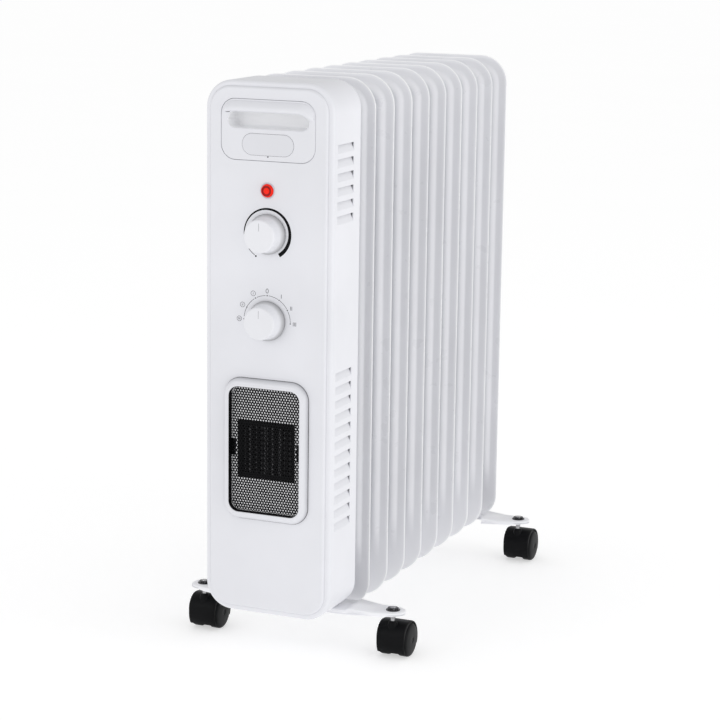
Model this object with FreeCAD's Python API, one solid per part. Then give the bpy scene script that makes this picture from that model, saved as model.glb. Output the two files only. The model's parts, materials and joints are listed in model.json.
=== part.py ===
"""Oil filled radiator heater: nine oil fins, a slim control housing with a PTC fan heater, and casters.

Millimetres.  X runs across the control panel, Y runs back along the fins, Z is up and 0 is the floor.
The model is laid out with Y = 0 on the casing's front rim and is moved to be centred on export.
"""
import FreeCAD, Part
import math
import os

V = FreeCAD.Vector
X_AXIS = V(1, 0, 0)
Y_AXIS = V(0, 1, 0)
Z_AXIS = V(0, 0, 1)

# ---------------------------------------------------------------- driving dimensions
FIN_COUNT = 9
FIN_PITCH = 52.0
FIN_WIDTH = 152.0
FIN_HEIGHT = 595.0
FIN_LIFT = 3.5                 # the fins' bottom above the wheels' top
FIN_CORNER = 34.0
FIN_SHEET = 0.7
CHANNEL_R = 6.5
CHANNEL_INSET = 13.0
COLUMN_R = 8.0
COLUMN_PITCH = 26.0
SLOT_INSET = 25.0
SLOT_LENGTH = 33.0
SLOT_WIDTH = 2.4
SLOT_PITCH = 50.0
PORT_INSET = 42.0
PORT_ROOT_R = 26.0
PORT_NECK_R = 17.0
PORT_BORE_R = 14.0
END_PORT_REACH = 12.0

CASING_WIDTH = 149.0
CASING_LIFT = 15.0            # casing bottom above the fins' bottom; their tops are level
CASING_DEPTH = 69.0
CASING_CORNER = 30.0
CASING_WALL = 1.2
CASING_EDGE_R = 4.0
RIM_WIDTH = 5.5
HOUSING_GAP = 36.0            # from the back plate to the first fin's seam
BACK_PLATE = 1.5

LOUVRE_REAR_GAP = 17.0
LOUVRE_HEIGHT = 9.0
LOUVRE_DEPTH = 3.4
LOUVRE_PITCH = 15.0
LOUVRE_FRONT = 10.0
UPPER_LOUVRES = 6
UPPER_LOUVRE_DROP = 63.5      # drops are from the casing's top, rises from its bottom
LOWER_LOUVRES = 12
LOWER_LOUVRE_RISE = 274.0

FASCIA_PROUD = 3.0
FASCIA_BACK = 2.0
FASCIA_GAP = 0.8
FASCIA_EDGE_R = 2.5

INSERT_WIDTH = 109.0
INSERT_HEIGHT = 64.0
INSERT_DROP = 51.0
INSERT_CORNER = 16.0
SEAM = 0.4
RECESS_WIDTH = 94.0
RECESS_HEIGHT = 17.0
RECESS_DROP = 41.0
RECESS_DEPTH = 18.0
RECESS_WALL = 2.0
HOOD_R = 6.5
BADGE_WIDTH = 60.0
BADGE_HEIGHT = 23.0
BADGE_DROP = 66.0
BADGE_THICK = 1.2
BADGE_PROUD = 0.5

LAMP_DROP = 114.0
LENS_R = 7.0
LENS_DOME = 4.0
LAMP_BODY_R = 6.0
LAMP_BODY_LENGTH = 20.0

THERMOSTAT_DROP = 160.0
SELECTOR_DROP = 253.0
KNOB_BASE_R = 21.5
KNOB_CAP_R = 17.5
KNOB_BASE_HEIGHT = 6.0
KNOB_HEIGHT = 21.0
KNOB_CLEAR = 0.5
SHAFT_R = 3.0
SHAFT_FIT = 0.06
SHAFT_HOLE_R = 4.0
SWITCH_WIDTH = 34.0
SWITCH_DEPTH = 24.0

BEZEL_RISE = 185.0
BEZEL_WIDTH = 99.0
BEZEL_HEIGHT = 156.0
BEZEL_CORNER = 20.0
BEZEL_PROUD = 8.0
BEZEL_LIP = 3.0
WINDOW_WIDTH = 83.0
WINDOW_HEIGHT = 138.0
WINDOW_CORNER = 11.0
BEZEL_SLEEVE = 1.5
GRILLE_PROUD = 1.5
GRILLE_THICK = 0.8
GRILLE_HOLE_R = 2.2
GRILLE_HOLE_PITCH = 6.4
GRILLE_MARGIN = 4.5
PTC_WIDTH = 68.0
PTC_HEIGHT = 63.0
PTC_DEPTH = 14.0
PTC_FRAME_WALL = 3.0
PTC_FIN_PITCH = 6.0
FAN_SIZE = 74.0
FAN_DEPTH = 20.0
FAN_BORE_R = 33.0
FAN_TIP_R = 31.0
FAN_HUB_R = 9.0
FAN_BLADES = 7
FAN_SHAFT_R = 1.5
MOTOR_R = 15.0
MOTOR_LENGTH = 15.0

BRACKET_PORT_GAP = 6.0
BRACKET_DROP = 5.0
BRACKET_FLAT = 56.0
BRACKET_TIP_FLAT = 98.0
BRACKET_SHEET = 2.0
BRACKET_SKIRT = 5.0            # from the tips' top down to the level lower edge
BRACKET_TIP_R = 14.5
BRACKET_REACH = 131.5
BRACKET_FIN_GAP = 32.0         # of a fin pitch, kept clear round the bracket's middle
BRACKET_ROOT_AHEAD = 26.0      # the arms' broad roots reach this far ahead of the stems
BOLT_ROD_R = 2.5
BOLT_CLEAR = 0.3
STEM_X = 116.7
FRONT_STEM_BACK = 10.0        # front stems stand this far behind the casing's back edge
REAR_STEM_AHEAD = 2.0         # rear stems stand this far ahead of the rear U-bolt

WHEEL_R = 19.0
WHEEL_WIDTH = 11.0
WHEEL_INNER_X = 6.0
WHEEL_DOME = 1.6
AXLE_R = 2.5
AXLE_FIT = 0.06
CASTER_OFFSET = 13.0
HOOD_GAP = 0.8
HOOD_SHELL = 1.9
HOOD_CROWN_GAP = 3.3           # the hood's flat top above the wheels
HOOD_BROW_R = 10.0
HOOD_WEB = 5.0
SOCKET_R = 5.6
SOCKET_BELOW_AXLE = 7.0
STEM_R = 4.0
STEM_FIT = 0.06
STEM_COLLAR_R = 4.6
NUT_R = 7.5
NUT_HEIGHT = 3.6
NUT_CHAMFER = 1.2

ELEMENT_ROD_R = 4.2
ELEMENT_SPREAD = 15.0
ELEMENT_FINS = 8
HEX_R = 24.0
STUD_R = 4.0
GASKET = 1.5

GLAND_RISE = 44.0
GLAND_Y = 40.0
GLAND_BORE_R = 4.0
GLAND_R = 7.0
GLAND_FLANGE_R = 10.0

# ---------------------------------------------------------------- derived places
FIRST_SEAM = CASING_DEPTH + BACK_PLATE + HOUSING_GAP
LAST_SEAM = FIRST_SEAM + (FIN_COUNT - 1) * FIN_PITCH
HALF_PITCH = FIN_PITCH / 2
FIN_BOTTOM = 2 * WHEEL_R + FIN_LIFT
FIN_TOP = FIN_BOTTOM + FIN_HEIGHT
FIN_MID_Z = FIN_BOTTOM + FIN_HEIGHT / 2
LOWER_PORT_Z = FIN_BOTTOM + PORT_INSET
UPPER_PORT_Z = FIN_TOP - PORT_INSET
PORT_FACE_Y = FIRST_SEAM - HALF_PITCH
CASING_BOTTOM = FIN_BOTTOM + CASING_LIFT
CASING_HEIGHT = FIN_TOP - CASING_BOTTOM
CASING_MID_Z = CASING_BOTTOM + CASING_HEIGHT / 2
UPPER_LOUVRE_TOP = FIN_TOP - UPPER_LOUVRE_DROP
LOWER_LOUVRE_TOP = CASING_BOTTOM + LOWER_LOUVRE_RISE
LOUVRE_LENGTH = CASING_DEPTH - LOUVRE_FRONT - LOUVRE_REAR_GAP
INSERT_Z = FIN_TOP - INSERT_DROP
RECESS_Z = FIN_TOP - RECESS_DROP
BADGE_Z = FIN_TOP - BADGE_DROP
LAMP_Z = FIN_TOP - LAMP_DROP
THERMOSTAT_Z = FIN_TOP - THERMOSTAT_DROP
SELECTOR_Z = FIN_TOP - SELECTOR_DROP
BEZEL_Z = CASING_BOTTOM + BEZEL_RISE
GLAND_Z = CASING_BOTTOM + GLAND_RISE
PANEL_Y = -FASCIA_PROUD
GRILLE_Y = PANEL_Y - GRILLE_PROUD
FASCIA_REAR_Y = CASING_WALL + FASCIA_BACK
FASCIA_LAP = RIM_WIDTH + FASCIA_GAP - CASING_EDGE_R - 0.3
BACK_PLATE_REAR_Y = CASING_DEPTH + BACK_PLATE
REAR_CAP_Y = LAST_SEAM + END_PORT_REACH
REAR_CAP_THICK = 3.0
FRONT_TIP_Y = PANEL_Y - KNOB_HEIGHT - KNOB_CLEAR
REAR_TIP_Y = REAR_CAP_Y + REAR_CAP_THICK
MID_Y = (FRONT_TIP_Y + REAR_TIP_Y) / 2
FRONT_BOLT_Y = PORT_FACE_Y + BOLT_ROD_R + 1.5
REAR_BOLT_Y = LAST_SEAM - HALF_PITCH
FRONT_STEM_Y = CASING_DEPTH + FRONT_STEM_BACK
REAR_STEM_Y = REAR_BOLT_Y - REAR_STEM_AHEAD
BRACKET_TOP = LOWER_PORT_Z - PORT_NECK_R - BRACKET_PORT_GAP
TIP_TOP = BRACKET_TOP - BRACKET_DROP
TIP_UNDER = TIP_TOP - BRACKET_SHEET
HOOD_CROWN = WHEEL_R + HOOD_CROWN_GAP
SOCKET_TOP = WHEEL_R + HOOD_CROWN
BRACKET_CENTRE_WIDTH = FIN_PITCH - BRACKET_FIN_GAP
SOCKET_BOTTOM = WHEEL_R - SOCKET_BELOW_AXLE
EPS = 0.01

nodes = {}


# ---------------------------------------------------------------- shape helpers
def box(x0, x1, y0, y1, z0, z1):
    return Part.makeBox(x1 - x0, y1 - y0, z1 - z0, V(x0, y0, z0))


def cyl_x(radius, x0, x1, y, z):
    return Part.makeCylinder(radius, x1 - x0, V(x0, y, z), X_AXIS)


def cyl_y(radius, y0, y1, x, z):
    return Part.makeCylinder(radius, y1 - y0, V(x, y0, z), Y_AXIS)


def cyl_z(radius, z0, z1, x, y):
    return Part.makeCylinder(radius, z1 - z0, V(x, y, z0), Z_AXIS)


def rounded_wire(cx, cz, width, height, radius, y=0.0):
    """Rounded rectangle in a plane of constant Y."""
    half_w, half_h = width / 2, height / 2
    edges = []
    corners = [(half_w, -half_h, -90), (half_w, half_h, 0), (-half_w, half_h, 90), (-half_w, -half_h, 180)]
    arcs = []
    for corner_x, corner_z, start in corners:
        ox = cx + corner_x - math.copysign(radius, corner_x)
        oz = cz + corner_z - math.copysign(radius, corner_z)
        points = []
        for angle in (start, start + 45, start + 90):
            a = math.radians(angle)
            points.append(V(ox + radius * math.cos(a), y, oz + radius * math.sin(a)))
        arcs.append(points)
    for index, points in enumerate(arcs):
        edges.append(Part.Arc(*points).toShape())
        following = arcs[(index + 1) % 4]
        if points[2].distanceToPoint(following[0]) > EPS:
            edges.append(Part.LineSegment(points[2], following[0]).toShape())
    return Part.Wire(edges)


def slab(cx, cz, width, height, radius, y0, y1):
    """Rounded rectangle plate between two planes of constant Y."""
    face = Part.Face(rounded_wire(cx, cz, width, height, radius, y0))
    return face.extrude(V(0, y1 - y0, 0))


def round_edges_at_y(shape, y, radius):
    edges = [e for e in shape.Edges if abs(e.BoundBox.YMin - y) < EPS and abs(e.BoundBox.YMax - y) < EPS]
    return shape.makeFillet(radius, edges)


def revolve_y(profile, x, y, z):
    """Turn a list of (radius, along) points about the Y axis through (x, y, z)."""
    points = [V(radius, along, 0) for radius, along in profile]
    face = Part.Face(Part.makePolygon(points + [points[0]]))
    solid = face.revolve(V(0, 0, 0), Y_AXIS, 360)
    solid.translate(V(x, y, z))
    return solid


def hexagon(across_corners_r, y0, y1, x, z):
    points = []
    for index in range(6):
        a = math.radians(60 * index)
        points.append(V(x + across_corners_r * math.cos(a), y0, z + across_corners_r * math.sin(a)))
    return Part.Face(Part.makePolygon(points + [points[0]])).extrude(V(0, y1 - y0, 0))


def fuse(shapes):
    shapes = list(shapes)
    return shapes[0].multiFuse(shapes[1:]).removeSplitter() if len(shapes) > 1 else shapes[0]


def add(name, shape):
    nodes[name] = shape


# ---------------------------------------------------------------- oil fins
def loop_tube(radius, y):
    """Closed oil channel that runs round the fin a fixed inset from its rim."""
    inset = 2 * CHANNEL_INSET
    path = rounded_wire(0, FIN_MID_Z, FIN_WIDTH - inset, FIN_HEIGHT - inset, FIN_CORNER - CHANNEL_INSET, y)
    start = V(FIN_WIDTH / 2 - CHANNEL_INSET, y, FIN_MID_Z)
    edges = sorted(path.Edges, key=lambda e: e.distToShape(Part.Vertex(start))[0])
    first = edges[0].firstVertex().Point
    circle = Part.Wire(Part.Circle(V(first.x, y, first.z), Z_AXIS, radius).toShape())
    ordered = Part.Wire(Part.__sortEdges__(path.Edges))
    return ordered.makePipeShell([circle], True, False)


def channel_tubes(skin, y):
    """Upright oil channels and the loop, skin mm smaller than their outer size."""
    tubes = [loop_tube(CHANNEL_R - skin, y)]
    for column in (-1, 0, 1):
        tubes.append(cyl_z(COLUMN_R - skin, LOWER_PORT_Z, UPPER_PORT_Z, column * COLUMN_PITCH, y))
    for z in (LOWER_PORT_Z, UPPER_PORT_Z):
        tubes.append(cyl_x(COLUMN_R - skin, -COLUMN_PITCH, COLUMN_PITCH, y, z))
    return tubes


def port_boss(reach, side, y, z):
    profile = [(0, 0), (PORT_ROOT_R, 0), (PORT_ROOT_R, 5 * side), (PORT_NECK_R, 11 * side),
               (PORT_NECK_R, reach * side), (0, reach * side)]
    return revolve_y(profile, 0, y, z)


def port_bore(reach, side, y, z, is_open):
    end = reach + 1 if is_open else reach - 2 * FIN_SHEET
    root = PORT_ROOT_R - FIN_SHEET
    profile = [(0, 0), (root, 0), (root, (5 - FIN_SHEET) * side), (PORT_BORE_R, 9 * side),
               (PORT_BORE_R, end * side), (0, end * side)]
    return revolve_y(profile, 0, y, z)


def slot_cutters(y):
    x = FIN_WIDTH / 2 - SLOT_INSET
    first = FIN_BOTTOM + 62
    count = int((FIN_HEIGHT - 124) // SLOT_PITCH) + 1
    cutters = []
    for side in (-1, 1):
        for index in range(count):
            z = first + index * SLOT_PITCH
            cutters.append(slab(side * x, z, SLOT_WIDTH, SLOT_LENGTH, SLOT_WIDTH / 2.01, y - 3, y + 3))
    return cutters


def make_fin(rear_reach, rear_open):
    """One fin with its seam on Y = 0: two pressed sheets seam-welded at the rim, hollow inside."""
    plate = slab(0, FIN_MID_Z, FIN_WIDTH, FIN_HEIGHT, FIN_CORNER, -FIN_SHEET, FIN_SHEET)
    outer = [plate] + channel_tubes(0, 0)
    inner = channel_tubes(FIN_SHEET, 0)
    for z in (LOWER_PORT_Z, UPPER_PORT_Z):
        outer += [port_boss(HALF_PITCH, -1, 0, z), port_boss(rear_reach, 1, 0, z)]
        inner += [port_bore(HALF_PITCH, -1, 0, z, True), port_bore(rear_reach, 1, 0, z, rear_open)]
    return fuse(outer).cut(fuse(inner)).cut(Part.makeCompound(slot_cutters(0)))


def build_fins():
    middle = make_fin(HALF_PITCH, True)
    last = make_fin(END_PORT_REACH, False)
    for index in range(FIN_COUNT):
        fin = (last if index == FIN_COUNT - 1 else middle).copy()
        fin.translate(V(0, FIRST_SEAM + index * FIN_PITCH, 0))
        add("fin_%02d" % (index + 1), fin)
    caps = [cyl_y(PORT_NECK_R - 2, REAR_CAP_Y, REAR_TIP_Y, 0, z) for z in (LOWER_PORT_Z, UPPER_PORT_Z)]
    add("rear_port_caps", Part.makeCompound(caps))


# ---------------------------------------------------------------- heating element and port fittings
def build_element():
    gasket_y = PORT_FACE_Y - GASKET
    gaskets = []
    for z in (LOWER_PORT_Z, UPPER_PORT_Z):
        ring = cyl_y(PORT_NECK_R, gasket_y, PORT_FACE_Y, 0, z)
        gaskets.append(ring.cut(cyl_y(PORT_BORE_R, gasket_y - 1, PORT_FACE_Y + 1, 0, z)))
    add("port_gaskets", Part.makeCompound(gaskets))
    half = ELEMENT_SPREAD / 2
    front = CASING_DEPTH - 16
    back = FIRST_SEAM + (ELEMENT_FINS - 1) * FIN_PITCH
    z = LOWER_PORT_Z
    path = Part.Wire([
        Part.LineSegment(V(-half, front, z), V(-half, back, z)).toShape(),
        Part.Arc(V(-half, back, z), V(0, back + half, z), V(half, back, z)).toShape(),
        Part.LineSegment(V(half, back, z), V(half, front, z)).toShape()])
    section = Part.Wire(Part.Circle(V(-half, front, z), Y_AXIS, ELEMENT_ROD_R).toShape())
    hairpin = path.makePipeShell([section], True, False)
    terminals = [cyl_y(2.0, front - 8, front + 1, side * half, z) for side in (-1, 1)]
    flange = hexagon(HEX_R, BACK_PLATE_REAR_Y, gasket_y, 0, z)
    add("heating_element", fuse([hairpin, flange] + terminals))
    plug = hexagon(HEX_R, BACK_PLATE_REAR_Y, gasket_y, 0, UPPER_PORT_Z)
    stud = cyl_y(STUD_R, CASING_DEPTH - 8, BACK_PLATE_REAR_Y + 1, 0, UPPER_PORT_Z)
    nut = hexagon(STUD_R + 3.5, CASING_DEPTH - 5, CASING_DEPTH, 0, UPPER_PORT_Z)
    nut = nut.cut(cyl_y(STUD_R, CASING_DEPTH - 9, CASING_DEPTH + 1, 0, UPPER_PORT_Z))
    add("upper_port_plug", Part.makeCompound([fuse([plug, stud]), nut]))


# ---------------------------------------------------------------- control housing shells
def louvre_tops():
    tops = [UPPER_LOUVRE_TOP - index * LOUVRE_PITCH for index in range(UPPER_LOUVRES)]
    return tops + [LOWER_LOUVRE_TOP - index * LOUVRE_PITCH for index in range(LOWER_LOUVRES)]


def louvre_blade(side, top):
    """Sheet pushed inwards below its slit: flush at the bottom, LOUVRE_DEPTH in at the top."""
    outer = CASING_WIDTH / 2
    bottom = top - LOUVRE_HEIGHT
    profile = [(outer, bottom - 0.5), (outer, bottom), (outer - LOUVRE_DEPTH, top),
               (outer - LOUVRE_DEPTH - CASING_WALL, top), (outer - CASING_WALL - 0.1, bottom - 0.5)]
    points = [V(side * x, LOUVRE_FRONT, z) for x, z in profile]
    return Part.Face(Part.makePolygon(points + [points[0]])).extrude(V(0, LOUVRE_LENGTH, 0))


def lug_places():
    x = CASING_WIDTH / 2 - CASING_WALL - 5
    for side in (-1, 1):
        for z in (CASING_BOTTOM + 48, CASING_MID_Z + 65, CASING_BOTTOM + CASING_HEIGHT - 48):
            yield side, side * x, z


def build_casing():
    mid, rear = CASING_MID_Z, CASING_DEPTH
    outer = slab(0, mid, CASING_WIDTH, CASING_HEIGHT, CASING_CORNER, 0, rear)
    outer = round_edges_at_y(outer, 0, CASING_EDGE_R)
    wall = CASING_WALL
    inner = slab(0, mid, CASING_WIDTH - 2 * wall, CASING_HEIGHT - 2 * wall, CASING_CORNER - wall, wall, rear + 1)
    inner = round_edges_at_y(inner, wall, CASING_EDGE_R - wall)
    opening = slab(0, mid, CASING_WIDTH - 2 * RIM_WIDTH, CASING_HEIGHT - 2 * RIM_WIDTH,
                   CASING_CORNER - RIM_WIDTH, -1, wall + 1)
    casing = outer.cut(inner).cut(opening)
    windows, blades = [], []
    for side in (-1, 1):
        x0, x1 = sorted((side * (CASING_WIDTH / 2 - wall - 0.5), side * (CASING_WIDTH / 2 + 1)))
        for top in louvre_tops():
            windows.append(box(x0, x1, LOUVRE_FRONT, LOUVRE_FRONT + LOUVRE_LENGTH, top - LOUVRE_HEIGHT, top))
            blades.append(louvre_blade(side, top))
    lugs, holes = [], []
    for side, x, z in lug_places():
        x0, x1 = sorted((x - side * 5, x + side * (5 + wall / 2)))
        lugs.append(box(x0, x1, rear - 9, rear, z - 5, z + 5))
        holes.append(cyl_y(2.0, rear - 10, rear + 1, x, z))
    casing = casing.cut(Part.makeCompound(windows))
    casing = casing.multiFuse(blades + lugs).cut(Part.makeCompound(holes))
    gland = cyl_x(GLAND_R, -CASING_WIDTH / 2 - 1, -CASING_WIDTH / 2 + 3, GLAND_Y, GLAND_Z)
    add("control_casing", casing.cut(gland))


def build_back_plate():
    """Heat shield behind the housing; its rim stands just inside the casing's outline."""
    plate = slab(0, CASING_MID_Z, CASING_WIDTH - 1.6, CASING_HEIGHT - 1.6, CASING_CORNER - 0.8,
                 CASING_DEPTH, BACK_PLATE_REAR_Y)
    cutters = [cyl_y(HEX_R - 8, CASING_DEPTH - 1, BACK_PLATE_REAR_Y + 1, 0, LOWER_PORT_Z),
               cyl_y(STUD_R, CASING_DEPTH - 1, BACK_PLATE_REAR_Y + 1, 0, UPPER_PORT_Z)]
    screws = []
    for _, x, z in lug_places():
        cutters.append(cyl_y(2.0, CASING_DEPTH - 1, BACK_PLATE_REAR_Y + 1, x, z))
        head = revolve_y([(0, 0), (3.6, 0), (3.2, 1.6), (0, 2.2)], x, BACK_PLATE_REAR_Y, z)
        screws.append(fuse([head, cyl_y(2.0, CASING_DEPTH - 8, BACK_PLATE_REAR_Y + 0.5, x, z)]))
    for row in range(5):
        for side in (-1, 1):
            z = CASING_MID_Z - 90 + row * 30
            cutters.append(slab(side * 34, z, 40, 6, 2.9, CASING_DEPTH - 1, BACK_PLATE_REAR_Y + 1))
    add("casing_back_plate", plate.cut(Part.makeCompound(cutters)))
    add("casing_screws", Part.makeCompound(screws))


def build_fascia():
    rim = 2 * (RIM_WIDTH + FASCIA_GAP)
    width, height = CASING_WIDTH - rim, CASING_HEIGHT - rim
    corner = CASING_CORNER - RIM_WIDTH - FASCIA_GAP
    face = slab(0, CASING_MID_Z, width, height, corner, PANEL_Y, CASING_WALL + EPS)
    face = round_edges_at_y(face, PANEL_Y, FASCIA_EDGE_R)
    lap = 2 * FASCIA_LAP
    back = slab(0, CASING_MID_Z, width + lap, height + lap, corner + FASCIA_LAP, CASING_WALL, FASCIA_REAR_Y)
    panel = fuse([face, back])
    front, rear = PANEL_Y - 1, FASCIA_REAR_Y + 1
    insert_hole = slab(0, INSERT_Z, INSERT_WIDTH + 2 * SEAM, INSERT_HEIGHT + 2 * SEAM,
                       INSERT_CORNER + SEAM, front, FASCIA_REAR_Y - FASCIA_BACK)
    recess_hole = slab(0, RECESS_Z, RECESS_WIDTH + 2 * RECESS_WALL + 1, RECESS_HEIGHT + 2 * RECESS_WALL + 1,
                       RECESS_HEIGHT / 2, front, rear)
    window = slab(0, BEZEL_Z, WINDOW_WIDTH + 2 * BEZEL_SLEEVE, WINDOW_HEIGHT + 2 * BEZEL_SLEEVE,
                  WINDOW_CORNER + BEZEL_SLEEVE, front, rear)
    holes = [cyl_y(LAMP_BODY_R, front, rear, 0, LAMP_Z)]
    holes += [cyl_y(SHAFT_HOLE_R, front, rear, 0, z) for z in (THERMOSTAT_Z, SELECTOR_Z)]
    add("front_fascia", panel.cut(Part.makeCompound([insert_hole, recess_hole, window] + holes)))


# ---------------------------------------------------------------- handle, badge, lamp
def build_handle():
    seat = FASCIA_REAR_Y - FASCIA_BACK
    plate = slab(0, INSERT_Z, INSERT_WIDTH, INSERT_HEIGHT, INSERT_CORNER, PANEL_Y, seat)
    hood_z = RECESS_Z + RECESS_HEIGHT / 2 + HOOD_R
    half = RECESS_WIDTH / 2 - 6
    hood = [cyl_x(HOOD_R, -half, half, PANEL_Y, hood_z)]
    hood += [Part.makeSphere(HOOD_R, V(side * half, PANEL_Y, hood_z)) for side in (-1, 1)]
    hood = fuse(hood).cut(box(-100, 100, seat, 100, hood_z - 20, hood_z + 20))
    tub = slab(0, RECESS_Z, RECESS_WIDTH + 2 * RECESS_WALL, RECESS_HEIGHT + 2 * RECESS_WALL,
               RECESS_HEIGHT / 2, seat - EPS, RECESS_DEPTH)
    cavity = slab(0, RECESS_Z, RECESS_WIDTH, RECESS_HEIGHT, RECESS_HEIGHT / 2.05,
                  PANEL_Y - 20, RECESS_DEPTH - RECESS_WALL)
    pocket = slab(0, BADGE_Z, BADGE_WIDTH, BADGE_HEIGHT, BADGE_HEIGHT / 2.01,
                  PANEL_Y - 1, PANEL_Y + BADGE_THICK - BADGE_PROUD)
    add("handle_insert", fuse([plate, hood, tub]).cut(cavity).cut(pocket))
    badge = slab(0, BADGE_Z, BADGE_WIDTH - SEAM, BADGE_HEIGHT - SEAM, (BADGE_HEIGHT - SEAM) / 2.01,
                 PANEL_Y - BADGE_PROUD, PANEL_Y + BADGE_THICK - BADGE_PROUD)
    add("badge", badge)


def build_lamp():
    sphere_r = (LENS_R ** 2 + LENS_DOME ** 2) / (2 * LENS_DOME)
    ball = Part.makeSphere(sphere_r, V(0, PANEL_Y - LENS_DOME + sphere_r, LAMP_Z))
    dome = ball.common(cyl_y(LENS_R, PANEL_Y - LENS_DOME - 1, PANEL_Y, 0, LAMP_Z))
    add("indicator_lens", dome)
    add("lamp_body", cyl_y(LAMP_BODY_R, PANEL_Y, PANEL_Y + LAMP_BODY_LENGTH, 0, LAMP_Z))


# ---------------------------------------------------------------- knobs and switches
def knob(z):
    """Two-step knob: a rounded skirt at the panel and a slightly tapered grip in front of it."""
    base_y = PANEL_Y - KNOB_CLEAR
    profile = [(0, 0), (KNOB_BASE_R, 0), (KNOB_BASE_R, -2), (KNOB_BASE_R - 1.6, -KNOB_BASE_HEIGHT + 1),
               (KNOB_CAP_R + 1.2, -KNOB_BASE_HEIGHT), (KNOB_CAP_R + 0.5, -KNOB_HEIGHT / 2),
               (KNOB_CAP_R, -KNOB_HEIGHT + 1), (KNOB_CAP_R - 1, -KNOB_HEIGHT), (0, -KNOB_HEIGHT)]
    shape = revolve_y(profile, 0, base_y, z)
    bore = cyl_y(SHAFT_R, base_y - KNOB_HEIGHT + 6, base_y + 1, 0, z)
    mark = box(-0.6, 0.6, base_y - KNOB_HEIGHT - 1, base_y - KNOB_HEIGHT + 0.4,
               z + KNOB_CAP_R - 10, z + KNOB_CAP_R - 3)
    return shape.cut(bore).cut(mark)


def build_control(name, z):
    add(name + "_knob", knob(z))
    knob_y = PANEL_Y - KNOB_CLEAR
    shaft_end = FASCIA_REAR_Y + SWITCH_DEPTH / 2
    add(name + "_shaft", cyl_y(SHAFT_R, knob_y - KNOB_HEIGHT + 6, shaft_end, 0, z))
    half = SWITCH_WIDTH / 2
    body = box(-half, half, FASCIA_REAR_Y, FASCIA_REAR_Y + SWITCH_DEPTH, z - half, z + half)
    rear_y = FASCIA_REAR_Y + SWITCH_DEPTH
    tabs = [box(side * 10 - 3, side * 10 + 3, rear_y - 1, rear_y + 8, z - 0.4, z + 0.4) for side in (-1, 1)]
    bore = cyl_y(SHAFT_R + SHAFT_FIT, FASCIA_REAR_Y - 1, shaft_end + 0.5, 0, z)
    add(name + "_body", fuse([body] + tabs).cut(bore))


# ---------------------------------------------------------------- fan heater
def build_bezel():
    """Raised frame: broad at the panel, narrow lip in front, with a sleeve down to the grille."""
    lip_y = PANEL_Y - BEZEL_PROUD
    base = rounded_wire(0, BEZEL_Z, BEZEL_WIDTH, BEZEL_HEIGHT, BEZEL_CORNER, PANEL_Y)
    lip = rounded_wire(0, BEZEL_Z, WINDOW_WIDTH + 2 * BEZEL_LIP, WINDOW_HEIGHT + 2 * BEZEL_LIP,
                       WINDOW_CORNER + BEZEL_LIP, lip_y)
    frame = Part.makeLoft([base, lip], True, True)
    sleeve = slab(0, BEZEL_Z, WINDOW_WIDTH + 2 * BEZEL_SLEEVE, WINDOW_HEIGHT + 2 * BEZEL_SLEEVE,
                  WINDOW_CORNER + BEZEL_SLEEVE, PANEL_Y - EPS, FASCIA_REAR_Y)
    hole = slab(0, BEZEL_Z, WINDOW_WIDTH, WINDOW_HEIGHT, WINDOW_CORNER, lip_y - 1, FASCIA_REAR_Y + 1)
    add("fan_bezel", fuse([frame, sleeve]).cut(hole))


def grille_holes():
    cols = int((WINDOW_WIDTH - 2 * GRILLE_MARGIN) // GRILLE_HOLE_PITCH)
    row_step = GRILLE_HOLE_PITCH * math.sqrt(3) / 2
    rows = int((WINDOW_HEIGHT - 2 * GRILLE_MARGIN) // row_step)
    for row in range(rows + 1):
        z = BEZEL_Z + (row - rows / 2) * row_step
        count = cols + 1 - row % 2
        for col in range(count):
            yield (col - (count - 1) / 2) * GRILLE_HOLE_PITCH, z


def build_grille():
    rear = GRILLE_Y + GRILLE_THICK
    plate = slab(0, BEZEL_Z, WINDOW_WIDTH, WINDOW_HEIGHT, WINDOW_CORNER, GRILLE_Y, rear)
    holes = [cyl_y(GRILLE_HOLE_R, GRILLE_Y - 1, rear + 1, x, z) for x, z in grille_holes()]
    add("fan_grille", plate.cut(Part.makeCompound(holes)))
    back = slab(0, BEZEL_Z, WINDOW_WIDTH, WINDOW_HEIGHT, WINDOW_CORNER, rear, rear + GRILLE_THICK)
    half_w, half_h = PTC_WIDTH / 2, PTC_HEIGHT / 2
    window = box(-half_w, half_w, rear - 1, rear + 2, BEZEL_Z - half_h, BEZEL_Z + half_h)
    add("reflector_plate", back.cut(window))


def build_ptc():
    front = GRILLE_Y + 2 * GRILLE_THICK
    rear = front + PTC_DEPTH
    half_w, half_h, wall = PTC_WIDTH / 2, PTC_HEIGHT / 2, PTC_FRAME_WALL
    frame = box(-half_w - wall, half_w + wall, front, rear, BEZEL_Z - half_h - wall, BEZEL_Z + half_h + wall)
    frame = frame.cut(box(-half_w, half_w, front - 1, rear + 1, BEZEL_Z - half_h, BEZEL_Z + half_h))
    add("ptc_frame", frame)
    core = box(-half_w, half_w, front, rear, BEZEL_Z - half_h, BEZEL_Z + half_h)
    gaps = []
    count = int((PTC_WIDTH - 4) // PTC_FIN_PITCH)
    for index in range(count):
        x = (index - (count - 1) / 2) * PTC_FIN_PITCH
        for side in (-1, 1):
            z0, z1 = sorted((BEZEL_Z + side * 3, BEZEL_Z + side * (half_h - 2)))
            gaps.append(box(x - 2.2, x + 2.2, front - 1, rear + 1, z0, z1))
    add("ptc_core", core.cut(Part.makeCompound(gaps)))
    return rear


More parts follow.
